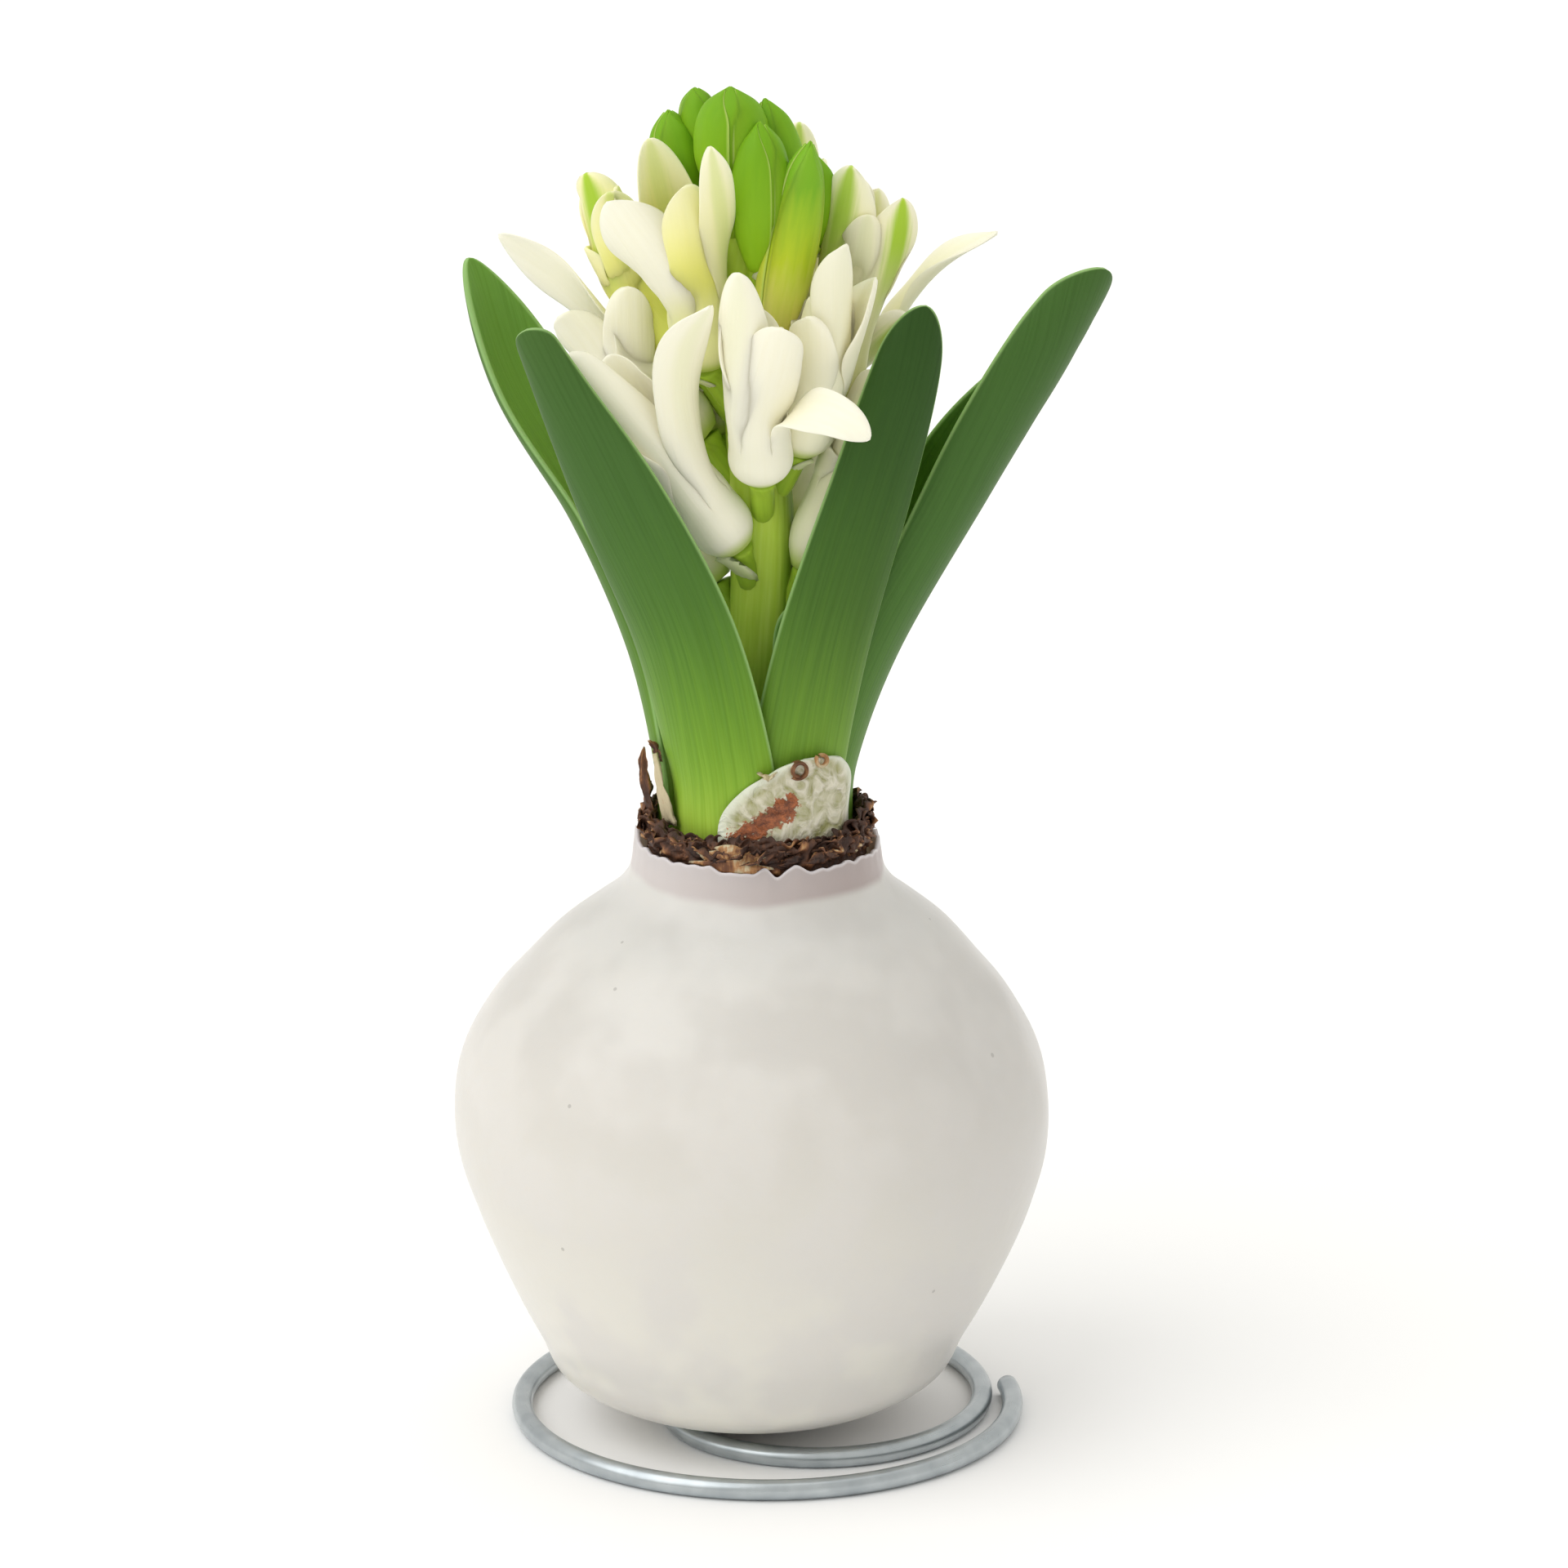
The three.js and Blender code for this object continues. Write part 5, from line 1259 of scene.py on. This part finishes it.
flowers = []
for floret_name, floret in FLORETS.items():
    flower = flower_frame(*floret["place"])
    flowers.append(flower)
    green, yellow = (np.broadcast_to(floret[mark], 6) for mark in ("green", "yellow"))
    skin = floret_skin(flower, floret["tube"], floret["roll"], floret["tepals"], green, yellow)
    piece(floret_name + "_skin", skin, petal_finish, floret_name)


# The buds. A closed bud is six thick tepals folded shut, three outside over three inside, with
# blunt hooded tips. Buds are green, and the largest pales to yellow at its base as it ripens.
BUD_ROWS = 30
BUD_COLUMNS = 17
BUD_HALF = 0.3
BUD_SUNK = 0.8
BUD_PROFILE = [0.4, 0.66, 0.86, 0.97, 1.0, 0.98, 0.88, 0.66, 0.16]
# Each is its place as a flower, its length, its radius, its turn, and how far it has paled
BUDS = [
    ((152, -120, 1.8, -100, 87), 13.2, 4.2, 10, 0.0),
    ((146.8, 163, 6.4, 180, 80), 15, 3.1, 40, 0.0),
    ((155.2, 150, 4.5, 170, 82), 9, 2.2, 20, 0.0),
    ((146.2, 10, 5.8, -165, 79), 17.4, 3, 70, 0.0),
    ((144, -63, 4.5, -95, 86), 17.7, 3.45, 30, 0.0),
    ((134, -58, 5, -20, 79), 26, 3.1, 0, 1.0),
    ((145.5, 12, 8.2, 0, 85), 10.5, 2.2, 15, 0.0),
    ((147, 135, 5.4, 140, 74), 13, 3, 5, 0.1),
    ((153, 95, 4, 95, 80), 9.6, 2.5, 35, 0.0),
    ((156, 100, 3, 100, 82), 7.4, 2.4, 60, 0.0),
]


def bud_tepal(flower, length, radius, angle, inner, pale):
    """One tepal of a closed bud: a shell on the bud's own swelling, about a third of the way round.
    One edge stands prouder than the other, and a shallow groove runs up its middle. An outer one
    is rounded off to a blunt tip, and an inner one stays wide and closes the bud's top."""
    axis = flower["axis"]
    share = 1 - (1 - np.linspace(0, 1, BUD_ROWS)) ** 1.5
    across = np.sin(np.pi / 2 * np.linspace(-1, 1, BUD_COLUMNS))
    swell = radius * along(BUD_PROFILE, share) * (0.9 if inner else 1.0)
    rounding = np.sqrt(1 - 0.9995 * np.clip((share - 0.72) / 0.28, 0, 1) ** 2)
    half_turn = np.radians(58) * rounding
    if inner:
        swell = swell - 0.13 * radius * smooth((share - 0.8) / 0.2)
        half_turn = np.radians(50 + 12 * smooth((share - 0.6) / 0.3))
    turn = np.radians(angle) + half_turn[:, None] * across
    round_way = flower["up"] * np.cos(turn)[..., None] + flower["across"] * np.sin(turn)[..., None]
    groove = 0.035 * np.exp(-((across / 0.2) ** 2)) * smooth(share * 3)[:, None]
    proud = 1 - 0.03 * across**2 + 0.045 * across - groove
    distance = swell[:, None] * proud
    level = length * share * (1.0 if inner else 0.985)
    foot = flower["base"] - BUD_SUNK * axis
    middle = foot + axis * level[:, None, None] + round_way * distance[..., None]
    half = BUD_HALF * np.sqrt(1 - across**4) * (0.4 + 0.6 * rounding[:, None])
    outward = unit(round_way + axis * (1.1 * smooth((share - 0.6) / 0.4))[:, None, None])
    reach = distance * (turn - np.radians(angle))
    weave = np.stack([reach, level[:, None] + 0 * reach, 0 * reach], -1)
    spread = np.stack([np.abs(across) + 0 * reach, share[:, None] + 0 * reach, 0 * reach], -1)
    marks = {"weave": weave, "spread": spread, "pale": pale + 0 * reach}
    return blade(middle, outward, half, marks)


# Bud skin, living and thin over green flesh: smooth, with a soft gloss, darker towards the tip and
# paler at the edges, where the petal's cream starts to show. A ripening bud pales from its base.
bud_finish, tree = new_finish("green_bud_skin")
spread = add(tree, "Attribute", {"attribute_name": "spread"})
parts = add(tree, "SeparateXYZ", None, {0: spread.outputs["Vector"]})
pale = add(tree, "Attribute", {"attribute_name": "pale"})
skin_noise = grain(tree, (1.4, 0.12), 3)
green_run = add(tree, "Math", {"operation": "MULTIPLY_ADD"}, {
    0: skin_noise.outputs["Fac"], 1: 0.25, 2: parts.outputs["Y"],
})
green_tone = add(tree, "ValToRGB", None, {"Fac": green_run.outputs[0]}, [
    (0.1, "#93c020"), (1.0, "#73a61a"),
])
pale_tone = add(tree, "ValToRGB", None, {"Fac": green_run.outputs[0]}, [
    (0.2, "#e8e382"), (0.6, "#bdd233"), (0.95, "#7cb028"),
])
bud_tone = add(tree, "Mix", {"data_type": "RGBA"}, {
    0: pale.outputs["Fac"], 6: green_tone.outputs[0], 7: pale_tone.outputs[0],
})
rim_share = add(tree, "MapRange", {"interpolation_type": "SMOOTHSTEP"}, {
    "Value": parts.outputs["X"], "From Min": 0.9, "From Max": 0.98, "To Max": 0.8,
})
bud_edged = add(tree, "Mix", {"data_type": "RGBA"}, {
    0: rim_share.outputs[0], 6: bud_tone.outputs[2], 7: linear("#bdd86e"),
})
show(tree, {
    "Base Color": bud_edged.outputs[2], "Roughness": 0.5, "Specular IOR Level": 0.15,
    "Subsurface Weight": 0.3, "Subsurface Radius": (0.7, 1.0, 0.3), "Subsurface Scale": 1.2 * MM,
}, skin_noise, strength=0.2, depth=0.12)

buds = []
for bud_place, bud_length, bud_radius, bud_turn, bud_pale in BUDS:
    flower = flower_frame(*bud_place)
    flowers.append(flower)
    for k in range(6):
        buds.append(bud_tepal(flower, bud_length, bud_radius, bud_turn + 60 * k, k % 2, bud_pale))
piece("bud_tepals", joined(buds), bud_finish, "scape")
stalks = joined([stalk(flower) for flower in flowers])
piece("flower_stalks", stalks, stalk_finish, "scape")

# A bract is a thin papery leaf, pale green-white and streaked, with light going a little way in.
# The front left flower's is wide and clasps the stem, and the front middle one's stands aside.
bract_finish = green_stem_finish("papery_bract", "#c0cf88", "#cfdb9e", "#e6ebc8")
bracts = [bract(flower) for flower in flowers[2:]]
bracts.append(bract(flowers[0], start=0.02, turned=-22, length=6.4, width=3.3, wrap=1.3))
bracts.append(bract(flowers[1], start=0.7, turned=85, length=4.6, width=1.6, wrap=0.8))
piece("bracts", joined(bracts), bract_finish, "scape")


# The studio. A plain white floor in even white light, with a soft key light from the left front
# and a weaker one from above, and the camera at the photograph's angle with a long lens.
CAMERA_ELEVATION = 16.5
CAMERA_DISTANCE = 1.0
IMAGE_SIDE = 1920
MM_PER_PIXEL = 0.0972
AIM = np.array([2.0, 0, 79.5])
SENSOR = 36
FLOOR_REACH = 4

floor_mesh = bpy.data.meshes.new("floor")
floor_corners = FLOOR_REACH * np.array([[-1, -1, 0], [1, -1, 0], [1, 1, 0], [-1, 1, 0]])
floor_mesh.from_pydata(floor_corners.tolist(), [], [(0, 1, 2, 3)])
floor = bpy.data.objects.new("floor", floor_mesh)
bpy.context.scene.collection.objects.link(floor)
floor_finish, tree = new_finish("white_floor")
show(tree, {"Base Color": linear("#f9f9f9"), "Roughness": 0.9, "Specular IOR Level": 0.1})
floor_mesh.materials.append(floor_finish)

world = bpy.data.worlds.new("studio")
world.use_nodes = True
world.node_tree.nodes["Background"].inputs["Color"].default_value = (1, 0.985, 0.945, 1)
world.node_tree.nodes["Background"].inputs["Strength"].default_value = 0.8
bpy.context.scene.world = world


def soft_sun(name, azimuth, height, strength, width):
    """A distant light that shines from an azimuth and a height, spread over a wide angle."""
    light = bpy.data.lights.new(name, "SUN")
    light.energy = strength
    light.angle = np.radians(width)
    lamp = bpy.data.objects.new(name, light)
    bpy.context.scene.collection.objects.link(lamp)
    toward = heading(azimuth, height)
    right = unit(np.cross([0, 0, 1], toward))
    turn = np.eye(4)
    turn[:3, 0], turn[:3, 1], turn[:3, 2] = right, np.cross(toward, right), toward
    lamp.matrix_world = lamp.matrix_world.__class__(turn.tolist())


soft_sun("key_light", -148, 44, 1.05, 60)
soft_sun("top_light", 100, 78, 0.45, 60)

elevation = np.radians(CAMERA_ELEVATION)
look = np.array([0, np.cos(elevation), -np.sin(elevation)])
upward = np.array([0, np.sin(elevation), np.cos(elevation)])
camera_place = PLACE + MM * AIM - CAMERA_DISTANCE * look
camera_data = bpy.data.cameras.new("camera")
camera_data.sensor_width = SENSOR
camera_data.lens = SENSOR * CAMERA_DISTANCE / MM / MM_PER_PIXEL / IMAGE_SIDE
camera = bpy.data.objects.new("camera", camera_data)
bpy.context.scene.collection.objects.link(camera)
turn = np.eye(4)
turn[:3, 0], turn[:3, 1], turn[:3, 2], turn[:3, 3] = (1, 0, 0), upward, -look, camera_place
camera.matrix_world = camera.matrix_world.__class__(turn.tolist())
bpy.context.scene.camera = camera
bpy.context.scene.view_settings.view_transform = "Standard"
